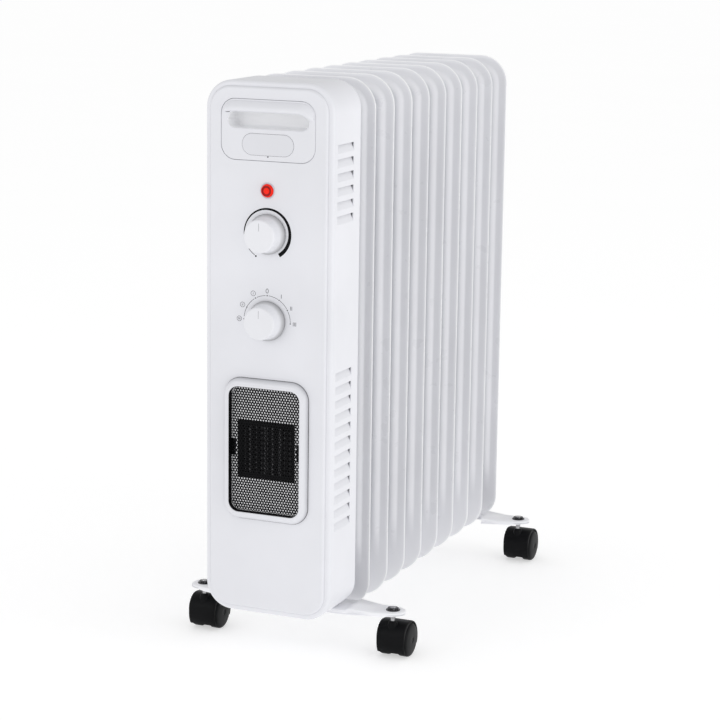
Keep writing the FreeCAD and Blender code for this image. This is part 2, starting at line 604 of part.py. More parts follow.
def build_fan(front):
    half = FAN_SIZE / 2
    rear = front + FAN_DEPTH
    ring = slab(0, BEZEL_Z, FAN_SIZE, FAN_SIZE, 6, front, rear)
    spider_y = rear - 3
    bore = cyl_y(FAN_BORE_R, front - 1, spider_y, 0, BEZEL_Z)
    ring = ring.cut(bore)
    openings = cyl_y(FAN_BORE_R, spider_y - 1, rear + 1, 0, BEZEL_Z).cut(
        cyl_y(MOTOR_R + 1, spider_y - 1, rear + 1, 0, BEZEL_Z))
    arms = [box(-half, half, spider_y - 1, rear + 1, BEZEL_Z - 2, BEZEL_Z + 2),
            box(-2, 2, spider_y - 1, rear + 1, BEZEL_Z - half, BEZEL_Z + half)]
    ring = ring.cut(openings.cut(fuse(arms)))
    shaft_front = front + 4
    shaft_hole = cyl_y(FAN_SHAFT_R + 1, spider_y - 1, rear + 1, 0, BEZEL_Z)
    add("fan_housing", ring.cut(shaft_hole))
    hub_rear = spider_y - 1.5
    hub = cyl_y(FAN_HUB_R, shaft_front, hub_rear, 0, BEZEL_Z)
    blades = []
    for index in range(FAN_BLADES):
        blade = box(-5, 5, -0.6, 0.6, FAN_HUB_R - 2, FAN_TIP_R - 0.3)
        blade.rotate(V(0, 0, 0), Z_AXIS, 38)
        blade.rotate(V(0, 0, 0), Y_AXIS, index * 360 / FAN_BLADES)
        blade.translate(V(0, (shaft_front + hub_rear) / 2, BEZEL_Z))
        blades.append(blade)
    spindle = cyl_y(FAN_SHAFT_R, shaft_front, rear + MOTOR_LENGTH - 2, 0, BEZEL_Z)
    add("fan_impeller", hub.multiFuse(blades + [spindle]))
    motor = cyl_y(MOTOR_R, rear, rear + MOTOR_LENGTH, 0, BEZEL_Z)
    bearing = cyl_y(FAN_SHAFT_R + SHAFT_FIT, rear - 1, rear + MOTOR_LENGTH - 1, 0, BEZEL_Z)
    add("fan_motor", motor.cut(bearing))


# ---------------------------------------------------------------- safety parts and wiring
def build_tip_switch():
    """Pendulum that hangs plumb in a frame on the back plate and opens the circuit when tilted."""
    x, z, rear = 42.0, CASING_BOTTOM + 90, CASING_DEPTH
    front = rear - 22
    pivot_y, pivot_z = rear - 14, z + 8
    frame = fuse([box(x - 12, x + 12, rear - 3, rear, z - 18, z + 16),
                  box(x - 12, x - 9.5, front, rear, z - 4, z + 16),
                  box(x + 9.5, x + 12, front, rear, z - 4, z + 16)])
    add("tip_over_frame", frame.cut(cyl_x(1.5 + SHAFT_FIT, x - 13, x + 13, pivot_y, pivot_z)))
    pin = cyl_x(1.5, x - 12, x + 12, pivot_y, pivot_z)
    rod = box(x - 1.2, x + 1.2, pivot_y - 1.2, pivot_y + 1.2, pivot_z - 16, pivot_z)
    bob = cyl_x(4.5, x - 7, x + 7, pivot_y, pivot_z - 16)
    add("tip_over_pendulum", fuse([pin, rod, bob]))


def build_small_electrics():
    rear = CASING_DEPTH
    cutout = fuse([cyl_y(8, rear - 6, rear, 40, UPPER_PORT_Z - 40),
                   box(28, 52, rear - 1.5, rear, UPPER_PORT_Z - 44, UPPER_PORT_Z - 36)])
    add("thermal_cutout", cutout)
    block_z = CASING_BOTTOM + 87
    block = box(-52, -22, rear - 14, rear, block_z - 9, block_z + 9)
    wells = [cyl_y(2.5, rear - 16, rear - 4, -47 + index * 10, block_z) for index in range(3)]
    add("terminal_block", block.cut(Part.makeCompound(wells)))
    wall_x = -CASING_WIDTH / 2
    gland = fuse([cyl_x(GLAND_FLANGE_R, wall_x - 4, wall_x, GLAND_Y, GLAND_Z),
                  cyl_x(GLAND_R, wall_x - 0.5, wall_x + CASING_WALL, GLAND_Y, GLAND_Z),
                  cyl_x(GLAND_R + 1.5, wall_x + CASING_WALL, wall_x + CASING_WALL + 5, GLAND_Y, GLAND_Z)])
    add("cord_gland", gland.cut(cyl_x(GLAND_BORE_R, wall_x - 5, wall_x + 10, GLAND_Y, GLAND_Z)))


# ---------------------------------------------------------------- foot brackets
def bracket_plan(inset, y_bolt, y_stem, shoulder_x, z0, z1):
    """Plan of a bracket: narrow in the middle, broad beside the heater, tapering to two round tips."""
    half = BRACKET_CENTRE_WIDTH / 2 - inset
    tip = BRACKET_TIP_R - inset
    arms = []
    for side in (-1, 1):
        tip_x = side * (BRACKET_REACH - BRACKET_TIP_R)
        root_x, broad_x = side * (shoulder_x - 4), side * (shoulder_x + inset)
        points = [V(root_x, y_bolt - half, 0), V(broad_x, y_stem - BRACKET_ROOT_AHEAD + inset, 0),
                  V(tip_x, y_stem - tip, 0), V(tip_x, y_stem + tip, 0), V(root_x, y_bolt + half, 0)]
        arms.append(Part.Face(Part.makePolygon(points + [points[0]])).extrude(V(0, 0, z1 - z0)))
        arms.append(cyl_z(tip, 0, z1 - z0, tip_x, y_stem))
    bar = box(1 - shoulder_x, shoulder_x - 1, y_bolt - half, y_bolt + half, 0, z1 - z0)
    plan = fuse([bar] + arms)
    plan.translate(V(0, 0, z0))
    return plan


def bracket_band(y0, y1, lower_z=None):
    """Side profile of the bracket, stepping down to flat tips; a sheet thick, or down to lower_z."""
    reach = BRACKET_REACH + 1
    upper = [(-reach, TIP_TOP), (-BRACKET_TIP_FLAT, TIP_TOP), (-BRACKET_FLAT, BRACKET_TOP),
             (BRACKET_FLAT, BRACKET_TOP), (BRACKET_TIP_FLAT, TIP_TOP), (reach, TIP_TOP)]
    lower = [(x, z - BRACKET_SHEET if lower_z is None else lower_z) for x, z in reversed(upper)]
    points = [V(x, y0, z) for x, z in upper + lower]
    return Part.Face(Part.makePolygon(points + [points[0]])).extrude(V(0, y1 - y0, 0))


def build_bracket(name, y_bolt, y_stem, shoulder_x):
    y0, y1 = y_bolt - 60, y_bolt + 60
    z0, z1 = TIP_TOP - 30, BRACKET_TOP + 10
    outer = bracket_plan(0, y_bolt, y_stem, shoulder_x, z0, z1)
    inner = bracket_plan(BRACKET_SHEET, y_bolt, y_stem, shoulder_x, z0, z1)
    skin = bracket_band(y0, y1).common(outer)
    skirt = bracket_band(y0, y1, TIP_TOP - BRACKET_SKIRT).common(outer.cut(inner))
    bracket = fuse([skin, skirt])
    holes = [cyl_z(STEM_R, z0, z1, side * STEM_X, y_stem) for side in (-1, 1)]
    holes += [cyl_z(BOLT_ROD_R + BOLT_CLEAR, z0, z1, side * bolt_x(), y_bolt) for side in (-1, 1)]
    add(name, bracket.cut(Part.makeCompound(holes)))


def bolt_x():
    return PORT_NECK_R + BOLT_ROD_R


def u_bolt(y):
    z_low = BRACKET_TOP - 19
    path = Part.Wire([
        Part.LineSegment(V(-bolt_x(), y, z_low), V(-bolt_x(), y, LOWER_PORT_Z)).toShape(),
        Part.Arc(V(-bolt_x(), y, LOWER_PORT_Z), V(0, y, LOWER_PORT_Z + bolt_x()),
                 V(bolt_x(), y, LOWER_PORT_Z)).toShape(),
        Part.LineSegment(V(bolt_x(), y, LOWER_PORT_Z), V(bolt_x(), y, z_low)).toShape()])
    section = Part.Wire(Part.Circle(V(-bolt_x(), y, z_low), Z_AXIS, BOLT_ROD_R).toShape())
    return path.makePipeShell([section], True, False)


def wing_nut(x, y):
    top = BRACKET_TOP - BRACKET_SHEET
    hub = Part.makeCone(4.0, 5.2, 8, V(x, y, top - 8), Z_AXIS)
    wings = box(x - 11, x + 11, y - 1.2, y + 1.2, top - 12, top - 3)
    return fuse([hub, wings]).cut(cyl_z(BOLT_ROD_R, top - 20, top + 1, x, y))


def build_feet():
    rows = (("front", FRONT_BOLT_Y, FRONT_STEM_Y, CASING_WIDTH / 2 - 9),
            ("rear", REAR_BOLT_Y, REAR_STEM_Y, FIN_WIDTH / 2 + 1))
    clamps = []
    for name, y_bolt, y_stem, shoulder_x in rows:
        build_bracket(name + "_foot_bracket", y_bolt, y_stem, shoulder_x)
        clamps.append(u_bolt(y_bolt))
        clamps += [wing_nut(side * bolt_x(), y_bolt) for side in (-1, 1)]
    add("u_bolts_with_wing_nuts", Part.makeCompound(clamps))


# ---------------------------------------------------------------- casters
def caster_places():
    for row, y in (("front", FRONT_STEM_Y), ("rear", REAR_STEM_Y)):
        for hand, side in (("left", -1), ("right", 1)):
            yield row + "_" + hand, side * STEM_X, y


def caster_stem():
    """Threaded stem on the origin: collar under the bracket, plain end in the hood's socket."""
    pin = cyl_z(STEM_R, SOCKET_BOTTOM + 4, TIP_TOP + NUT_HEIGHT - 2, 0, 0)
    collar = cyl_z(STEM_COLLAR_R, SOCKET_TOP + 0.4, TIP_UNDER, 0, 0)
    return fuse([pin, collar])


def caster_nut():
    points = [V(NUT_R * math.cos(math.radians(60 * i)), NUT_R * math.sin(math.radians(60 * i)), 0)
              for i in range(6)]
    hexa = Part.Face(Part.makePolygon(points + [points[0]])).extrude(V(0, 0, NUT_HEIGHT - NUT_CHAMFER))
    crown = Part.makeCone(NUT_R - 1, NUT_R - 3, NUT_CHAMFER, V(0, 0, NUT_HEIGHT - NUT_CHAMFER), Z_AXIS)
    nut = fuse([hexa, crown])
    nut.translate(V(0, 0, TIP_TOP))
    return nut.cut(cyl_z(STEM_R, TIP_TOP - 5, TIP_TOP + NUT_HEIGHT - 2, 0, 0))


def arc_points(radius, start, end, y, z, step=7.5):
    """Points on an arc in a plane of constant X, angles from +Y towards +Z."""
    count = round(abs(end - start) / step)
    angles = [math.radians(start + (end - start) * index / count) for index in range(count + 1)]
    return [V(0, y + radius * math.cos(a), z + radius * math.sin(a)) for a in angles]


def caster_hood():
    """Fender over both wheels, flat on top, with the swivel socket and the web that carries the axle."""
    y, z = CASTER_OFFSET, WHEEL_R
    half = WHEEL_INNER_X + WHEEL_WIDTH - 0.6
    outer_r = WHEEL_R + HOOD_GAP + HOOD_SHELL
    brow = arc_points(HOOD_BROW_R, 90, 180, y - outer_r + HOOD_BROW_R, z + HOOD_CROWN - HOOD_BROW_R)
    outline = [V(0, y, z)] + arc_points(outer_r, 5, 80, y, z) + brow + arc_points(outer_r, 180, 222, y, z)
    shell = Part.Face(Part.makePolygon(outline + [outline[0]])).extrude(V(2 * half, 0, 0))
    shell.translate(V(-half, 0, 0))
    web = shell.common(box(-HOOD_WEB / 2, HOOD_WEB / 2, y - 60, y + 60, 0, z + 60))
    keel = cyl_x(outer_r - 0.5, -HOOD_WEB / 2, HOOD_WEB / 2, y, z)
    keel = keel.common(box(-20, 20, y - 60, y + 60, z - 13, z + 60))
    socket = cyl_z(SOCKET_R, SOCKET_BOTTOM, z + HOOD_CROWN, 0, 0)
    shell = shell.cut(cyl_x(WHEEL_R + HOOD_GAP, -half - 1, half + 1, y, z))
    hood = fuse([shell, web, keel, socket])
    hood = hood.cut(cyl_z(STEM_R + STEM_FIT, SOCKET_BOTTOM + 3.5, SOCKET_TOP + 1, 0, 0))
    return hood.cut(cyl_x(AXLE_R, -30, 30, y, z))


def caster_wheel(side):
    """One wheel: outer face domed, with a shallow ring and a centre boss."""
    y, z = CASTER_OFFSET, WHEEL_R
    profile = [(AXLE_R + AXLE_FIT, 0), (WHEEL_R - 1, 0), (WHEEL_R, 1), (WHEEL_R, WHEEL_WIDTH - 2.2),
               (WHEEL_R - 1.6, WHEEL_WIDTH - 0.6), (WHEEL_R - 5, WHEEL_WIDTH),
               (WHEEL_R - 12, WHEEL_WIDTH + WHEEL_DOME), (AXLE_R + AXLE_FIT, WHEEL_WIDTH + WHEEL_DOME)]
    points = [V(along, radius, 0) for radius, along in profile]
    wheel = Part.Face(Part.makePolygon(points + [points[0]])).revolve(V(0, 0, 0), X_AXIS, 360)
    if side < 0:
        wheel.rotate(V(0, 0, 0), Z_AXIS, 180)
    wheel.translate(V(side * WHEEL_INNER_X, y, z))
    return wheel


def build_casters():
    axle_half = WHEEL_INNER_X + WHEEL_WIDTH + WHEEL_DOME - 0.4
    stems = []
    for name, x, y in caster_places():
        pieces = {"hood": caster_hood(), "left_wheel": caster_wheel(-1), "right_wheel": caster_wheel(1),
                  "axle": cyl_x(AXLE_R, -axle_half, axle_half, CASTER_OFFSET, WHEEL_R)}
        for piece, shape in pieces.items():
            shape.translate(V(x, y, 0))
            add("%s_caster_%s" % (name, piece), shape)
        for shape in (caster_stem(), caster_nut()):
            shape.translate(V(x, y, 0))
            stems.append(shape)
    add("caster_stems_with_nuts", Part.makeCompound(stems))


# ---------------------------------------------------------------- build and export
build_fins()
build_element()
build_casing()
build_back_plate()
build_fascia()
build_handle()
build_lamp()
build_control("thermostat", THERMOSTAT_Z)
build_control("selector", SELECTOR_Z)
build_bezel()
build_grille()
build_fan(build_ptc())
build_tip_switch()
build_small_electrics()
build_feet()
build_casters()

os.makedirs("parts", exist_ok=True)
for node_name, node_shape in nodes.items():
    node_shape.translate(V(0, -MID_Y, 0))
    if not node_shape.isValid():
        print("invalid shape:", node_name)
    node_shape.exportStep("parts/%s.step" % node_name)
print(len(nodes), "nodes; middle Y", MID_Y)
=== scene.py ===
"""Looks for the oil filled radiator heater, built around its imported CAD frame.

Lengths are in metres; +Y runs from the front panel back along the fins.
"""
import json
import math

import bmesh
import bpy
from mathutils import Matrix, Vector


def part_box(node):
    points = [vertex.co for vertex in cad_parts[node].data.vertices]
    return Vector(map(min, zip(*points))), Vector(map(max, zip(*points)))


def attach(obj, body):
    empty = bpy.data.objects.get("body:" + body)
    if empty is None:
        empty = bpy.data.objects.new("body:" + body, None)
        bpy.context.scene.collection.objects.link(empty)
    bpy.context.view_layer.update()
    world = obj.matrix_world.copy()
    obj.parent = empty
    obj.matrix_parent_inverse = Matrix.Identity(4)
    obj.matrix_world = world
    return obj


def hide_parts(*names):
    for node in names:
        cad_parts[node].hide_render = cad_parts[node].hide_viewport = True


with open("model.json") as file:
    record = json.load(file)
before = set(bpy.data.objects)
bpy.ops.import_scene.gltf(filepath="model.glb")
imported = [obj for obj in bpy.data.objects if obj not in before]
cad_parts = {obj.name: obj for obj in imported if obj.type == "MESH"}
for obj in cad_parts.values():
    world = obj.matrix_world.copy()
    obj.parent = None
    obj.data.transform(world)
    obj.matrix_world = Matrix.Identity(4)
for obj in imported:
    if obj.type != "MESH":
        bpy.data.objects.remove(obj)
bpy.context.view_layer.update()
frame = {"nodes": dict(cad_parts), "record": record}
MM = 0.001


# ---------------------------------------------------------------- materials
COAT_ROUGHNESS = 0.15


def shader_tree(name):
    """New node material, with its node tree and its main shader."""
    made = bpy.data.materials.new(name)
    made.use_nodes = True
    tree = made.node_tree
    return made, tree, tree.nodes["Principled BSDF"]


def noise_node(tree, coords, scale, detail=3.0, stretch=(1, 1, 1)):
    """Noise in the object's own frame."""
    mapping = tree.nodes.new("ShaderNodeMapping")
    mapping.inputs["Scale"].default_value = stretch
    made = tree.nodes.new("ShaderNodeTexNoise")
    made.inputs["Scale"].default_value = scale
    made.inputs["Detail"].default_value = detail
    tree.links.new(coords, mapping.inputs["Vector"])
    tree.links.new(mapping.outputs["Vector"], made.inputs["Vector"])
    return made.outputs["Fac"]


def ramp(tree, value, low, high):
    """Map a 0 to 1 value onto a range of numbers."""
    made = tree.nodes.new("ShaderNodeMapRange")
    made.inputs["From Min"].default_value = 0.3
    made.inputs["From Max"].default_value = 0.7
    made.inputs["To Min"].default_value = low
    made.inputs["To Max"].default_value = high
    tree.links.new(value, made.inputs["Value"])
    return made.outputs["Result"]


def two_tones(tree, value, dark, light):
    """Blend from a dark to a light colour by a 0 to 1 value."""
    made = tree.nodes.new("ShaderNodeMix")
    made.data_type = "RGBA"
    made.inputs["A"].default_value = (*dark, 1)
    made.inputs["B"].default_value = (*light, 1)
    tree.links.new(value, made.inputs["Factor"])
    return made.outputs["Result"]


def finish(name, colour, rough, *, vary=0.03, patch=9.0, grain=900.0, bump=0.05, depth=0.0002,
           metal=0.0, coat=0.0, specular=0.5, rough_vary=0.06, stretch=(1, 1, 1)):
    """Surface with slow colour patches, uneven gloss and a fine grain in its relief."""
    made, tree, shader = shader_tree(name)
    coords = tree.nodes.new("ShaderNodeTexCoord").outputs["Object"]
    patches = noise_node(tree, coords, patch)
    dark = tuple(c * (1 - vary) for c in colour)
    light = tuple(min(1.0, c * (1 + vary)) for c in colour)
    tree.links.new(two_tones(tree, ramp(tree, patches, 0, 1), dark, light), shader.inputs["Base Color"])
    smudges = noise_node(tree, coords, patch * 5, 5.0)
    tree.links.new(ramp(tree, smudges, rough - rough_vary, rough + rough_vary), shader.inputs["Roughness"])
    relief = tree.nodes.new("ShaderNodeBump")
    relief.inputs["Strength"].default_value = bump
    relief.inputs["Distance"].default_value = depth
    tree.links.new(noise_node(tree, coords, grain, 2.0, stretch), relief.inputs["Height"])
    tree.links.new(relief.outputs["Normal"], shader.inputs["Normal"])
    shader.inputs["Metallic"].default_value = metal
    shader.inputs["Coat Weight"].default_value = coat
    shader.inputs["Coat Roughness"].default_value = COAT_ROUGHNESS
    shader.inputs["Specular IOR Level"].default_value = specular
    return made


def shade_along_depth(made, y_dark, y_light, dark):
    """Painted shade: darken a finish towards one depth, where a raised part meets the panel behind it."""
    tree = made.node_tree
    shader = tree.nodes["Principled BSDF"]
    colour = shader.inputs["Base Color"].links[0].from_socket
    split = tree.nodes.new("ShaderNodeSeparateXYZ")
    tree.links.new(tree.nodes.new("ShaderNodeTexCoord").outputs["Object"], split.inputs["Vector"])
    fade = tree.nodes.new("ShaderNodeMapRange")
    fade.interpolation_type = "SMOOTHSTEP"
    for label, value in (("From Min", y_light), ("From Max", y_dark), ("To Min", 1.0), ("To Max", dark)):
        fade.inputs[label].default_value = value
    tree.links.new(split.outputs["Y"], fade.inputs["Value"])
    scaled = tree.nodes.new("ShaderNodeVectorMath")
    scaled.operation = "SCALE"
    tree.links.new(colour, scaled.inputs[0])
    tree.links.new(fade.outputs["Result"], scaled.inputs["Scale"])
    tree.links.new(scaled.outputs["Vector"], shader.inputs["Base Color"])
    return made


FINISHES = {
    "fin_enamel": ((0.83, 0.834, 0.865), 0.32, dict(grain=700, bump=0.08, coat=0.4)),
    "casing_enamel": ((0.79, 0.795, 0.835), 0.42, dict(grain=800, bump=0.1, coat=0.1)),
    "fascia_plastic": ((0.78, 0.785, 0.825), 0.45, dict(grain=1600, bump=0.1)),
    "badge_plastic": ((0.74, 0.745, 0.785), 0.42, dict(grain=1600, bump=0.1)),
    "bezel_plastic": ((0.76, 0.765, 0.805), 0.35, dict(grain=1600, bump=0.08, coat=0.1)),
    "knob_plastic": ((0.79, 0.795, 0.83), 0.42, dict(grain=1600, bump=0.06)),
    "red_lens": ((0.66, 0.008, 0.003), 0.3, dict(vary=0.12, patch=200, coat=0.1, specular=0.12)),
    "dark_plastic": ((0.03, 0.03, 0.032), 0.4, dict(vary=0.2, grain=1400, bump=0.2)),
    "pale_plastic": ((0.62, 0.60, 0.55), 0.45, dict(grain=1400, bump=0.2)),
    "grille_black": ((0.004, 0.004, 0.005), 0.55, dict(vary=0.2, grain=2200, bump=0.1, specular=0.08)),
    "bright_plate": ((0.90, 0.905, 0.93), 0.3, dict(patch=60, metal=0.05, grain=500, stretch=(1, 1, 12))),
    "ptc_fins": ((0.008, 0.008, 0.009), 0.5, dict(vary=0.3, patch=80, grain=1500, bump=0.1, specular=0.2)),
    "zinc_steel": ((0.62, 0.62, 0.60), 0.28, dict(vary=0.1, patch=120, metal=1.0, grain=500, bump=0.1)),
    "gasket_rubber": ((0.05, 0.045, 0.04), 0.75, dict(vary=0.2, grain=900, bump=0.3)),
    "gland_rubber": ((0.03, 0.03, 0.032), 0.6, dict(vary=0.2, grain=900, bump=0.25)),
    "bracket_enamel": ((0.93, 0.932, 0.96), 0.36, dict(grain=800, bump=0.1, coat=0.15)),
    "stem_chrome": ((0.40, 0.40, 0.41), 0.16, dict(vary=0.08, patch=150, metal=1.0, grain=300, bump=0.05)),
    "print_black": ((0.004, 0.004, 0.005), 0.6, dict(vary=0.2, patch=300, bump=0.03, specular=0.1)),
    "print_and_gap_shadow_grey": ((0.10, 0.10, 0.115), 0.45, dict(vary=0.15, patch=400, bump=0.03)),
    "pointer_grey": ((0.40, 0.40, 0.42), 0.45, dict(vary=0.1, patch=400, bump=0.03)),
    "red_rim": ((0.30, 0.004, 0.004), 0.35, dict(vary=0.1, patch=200, specular=0.2)),
    "knob_skirt_shade": ((0.79, 0.795, 0.83), 0.45, dict(grain=1600, bump=0.06)),
    "pocket_lit_plastic": ((0.90, 0.903, 0.92), 0.45, dict(grain=1600, bump=0.1)),
    "fin_rim_highlight": ((0.96, 0.962, 0.99), 0.3, dict(grain=700, bump=0.05, coat=0.3)),
    "collar_shade": ((0.60, 0.605, 0.66), 0.45, dict(grain=1600, bump=0.06)),
    "core_fin": ((0.20, 0.20, 0.21), 0.4, dict(vary=0.3, patch=160, metal=0.4, grain=1500, bump=0.1)),
    "cove_shade": ((0.68, 0.685, 0.72), 0.5, dict(grain=1600, bump=0.06)),
    "gap_shadow_grey": ((0.14, 0.14, 0.15), 0.5, dict(vary=0.2, patch=120, bump=0.05)),
    "nut_steel": ((0.08, 0.08, 0.085), 0.24, dict(vary=0.2, patch=200, metal=1.0, bump=0.05)),
    "caster_plastic": ((0.003, 0.0033, 0.004), 0.42, dict(vary=0.25, grain=1200, bump=0.1, specular=0.1)),
}
LOOKS = {name: finish(name, colour, rough, **extra)
         for name, (colour, rough, extra) in FINISHES.items()}

knob_base_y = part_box("thermostat_knob")[1].y
# Painted shade: the bezel darkens towards the panel it stands on.
shade_along_depth(LOOKS["bezel_plastic"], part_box("front_fascia")[0].y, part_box("fan_bezel")[0].y, 0.62)
# Painted shade: the knob skirt darkens towards its base on the panel.
shade_along_depth(LOOKS["knob_skirt_shade"], knob_base_y, knob_base_y - 8 * MM, 0.34)

lens_shader = LOOKS["red_lens"].node_tree.nodes["Principled BSDF"]
lens_shader.inputs["Emission Color"].default_value = (1.0, 0.045, 0.012, 1)
lens_shader.inputs["Emission Strength"].default_value = 0.28

NODE_SLOTS = {part["node"]: part["material_slot"] for part in frame["record"]["subparts"]}
for node, made in frame["nodes"].items():
    made.data.materials.clear()
    made.data.materials.append(LOOKS[NODE_SLOTS[node]])


# ---------------------------------------------------------------- mesh building
class Shell:
    """Vertices and faces gathered from closed lofts, with a material number per face."""

    def __init__(self):
        self.verts, self.faces, self.tints = [], [], []

    def face(self, corners, tint=0):
        self.faces.append(tuple(corners))
        self.tints.append(tint)

    def loft(self, rings, tints=0, caps=True, wrap=False):
        """Join rings of equal length; tints is one material number, or one for each band."""
        start, size = len(self.verts), len(rings[0])
        for ring in rings:
            self.verts.extend(Vector(point) for point in ring)
        bands = len(rings) if wrap else len(rings) - 1
        for band in range(bands):
            tint = tints if isinstance(tints, int) else tints[band]
            low, high = start + band * size, start + (band + 1) % len(rings) * size
            for i in range(size):
                j = (i + 1) % size
                self.face((low + i, low + j, high + j, high + i), tint)
        if caps and not wrap:
            last = start + (len(rings) - 1) * size
            self.face(reversed(range(start, start + size)), tints if isinstance(tints, int) else tints[0])
            self.face(range(last, last + size), tints if isinstance(tints, int) else tints[-1])


def piece(name, shell, looks, body, replaced=(), sharp=38):
    """Turn a shell into a smooth-shaded object that rides on a body and stands for CAD nodes."""
    mesh = bpy.data.meshes.new(name)
    mesh.from_pydata(shell.verts, [], shell.faces)
    for look in looks:
        mesh.materials.append(LOOKS[look])
    mesh.polygons.foreach_set("material_index", shell.tints)
    cleaned = bmesh.new()
    cleaned.from_mesh(mesh)
    bmesh.ops.remove_doubles(cleaned, verts=cleaned.verts, dist=1e-6)
    bmesh.ops.recalc_face_normals(cleaned, faces=cleaned.faces)
    cleaned.to_mesh(mesh)
    cleaned.free()
    mesh.shade_smooth()
    mesh.set_sharp_from_angle(angle=math.radians(sharp))
    made = bpy.data.objects.new(name, mesh)
    bpy.context.scene.collection.objects.link(made)
    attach(made, body)
    if replaced:
        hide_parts(*replaced)
    return made


def oval(cx, cz, width, height, corner, y, steps=8):
    """Rounded rectangle ring in a plane of constant Y, the same number of points whatever its size."""
    corner = min(corner, width / 2, height / 2)
    ring = []
    for sx, sz, start in ((1, -1, -90), (1, 1, 0), (-1, 1, 90), (-1, -1, 180)):
        ox, oz = cx + sx * (width / 2 - corner), cz + sz * (height / 2 - corner)
        for i in range(steps + 1):
            a = math.radians(start + 90 * i / steps)
            ring.append((ox + corner * math.cos(a), y, oz + corner * math.sin(a)))
    return ring


def turned(profile, centre, axis="Y", steps=72):
    """Rings of a lathe profile of (radius, along) about an axis through a centre."""
    rings = []
    for radius, along in profile:
        ring = []
        for i in range(steps):
            a = 2 * math.pi * i / steps
            u, v = radius * math.cos(a), radius * math.sin(a)
            offset = {"X": (along, u, v), "Y": (u, along, v), "Z": (u, v, along)}[axis]
            ring.append(tuple(c + o for c, o in zip(centre, offset)))
        rings.append(ring)
    return rings


def arc(cx, cy, radius, start, end, steps):
    """Points (x, y) of an arc, degrees."""
    turns = [math.radians(start + (end - start) * i / steps) for i in range(steps + 1)]
    return [(cx + radius * math.cos(a), cy + radius * math.sin(a)) for a in turns]


def middle(node):
    """Centre of a CAD node's box."""
    low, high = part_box(node)
    return (low + high) / 2


def mix(a, b, t):
    """Go from a to b as t goes from 0 to 1."""
    return a + (b - a) * t


def smooth(t):
    """Ease from 0 to 1, held at both ends."""
    t = min(1.0, max(0.0, t))
    return t * t * (3 - 2 * t)


# ---------------------------------------------------------------- oil fins
FIN_CORNER = 34 * MM
FIN_HALF_SHEET = 0.7 * MM
CHANNEL_MID = 17.0 * MM
CHANNEL_HALF = 7.6 * MM
CHANNEL_RISE = 3.6 * MM
COLUMN_HALF = 9.5 * MM
COLUMN_RISE = 7.2 * MM
COLUMN_PITCH = 26 * MM
PORT_INSET = 42 * MM
PORT_REACH = 26 * MM
PORT_NECK_R = 17 * MM
PORT_BORE_R = 13.5 * MM
BOSS_R = 27 * MM
BOSS_RISE = 8 * MM
SLOT_INSET = 25 * MM
SLOT_HALF = 1.1 * MM
SLOT_LENGTH = 34 * MM
SLOT_PITCH = 50 * MM
SLOT_FIRST = 62 * MM
SLOT_SLACK = 1e-6
CORNER_STEPS = 12
GRID_COLUMNS = 36
# Distances in from the fin's edge where its border rings lie, in millimetres.
RING_INSETS = (0.0, 0.9, 4.0, 8.6, 9.8, 10.6, 11.6, 12.8, 14.2, 16.0, 17.8, 19.2, 20.4, 21.4, 22.4,
               (SLOT_INSET - SLOT_HALF) / MM, (SLOT_INSET + SLOT_HALF) / MM, 28.5, 31.5)
SLOT_BAND = RING_INSETS.index((SLOT_INSET - SLOT_HALF) / MM)


def bump_profile(distance, half):
    """Pressed channel's cross section, 1 on its centre line and 0 at its foot."""
    t = abs(distance) / half
    return 0.0 if t >= 1 else (1 - t * t) ** 1.4


def fin_relief(x, z, inset, low, high):
    """How far the pressed sheet stands off the seam at a point of the fin."""
    fading = smooth((z - low.z - 34 * MM) / (60 * MM))
    rise = CHANNEL_RISE * fading * bump_profile(inset - CHANNEL_MID, CHANNEL_HALF)
    for port_z in (low.z + PORT_INSET, high.z - PORT_INSET):
        away = math.hypot(x, z - port_z)
        rise = max(rise, BOSS_RISE * (1 - smooth((away - PORT_NECK_R) / (BOSS_R - PORT_NECK_R))))
        if abs(x) < COLUMN_PITCH:
            rise = max(rise, COLUMN_RISE * bump_profile(z - port_z, COLUMN_HALF))
    inside = min(z - low.z - PORT_INSET, high.z - PORT_INSET - z)
    for column in (-1, 0, 1):
        off = math.hypot(x - column * COLUMN_PITCH, min(0.0, inside))
        rise = max(rise, COLUMN_RISE * bump_profile(off, COLUMN_HALF))
    return rise


def fin_border(core_x, z_lines, x_lines):
    """Points (x, z) round a fin's flat core, each with its outward direction, from the lower right up."""
    def corner(x, z, start):
        turns = [math.radians(start + 90 * i / CORNER_STEPS) for i in range(CORNER_STEPS)]
        return [(x, z, math.cos(a), math.sin(a)) for a in turns]

    bottom, top = z_lines[0], z_lines[-1]
    return ([(core_x, z, 1, 0) for z in z_lines[:-1]] + corner(core_x, top, 0)
            + [(x, top, 0, 1) for x in reversed(x_lines[1:])] + corner(-core_x, top, 90)
            + [(-core_x, z, -1, 0) for z in reversed(z_lines[1:])] + corner(-core_x, bottom, 180)
            + [(x, bottom, 0, -1) for x in x_lines[:-1]] + corner(core_x, bottom, 270))


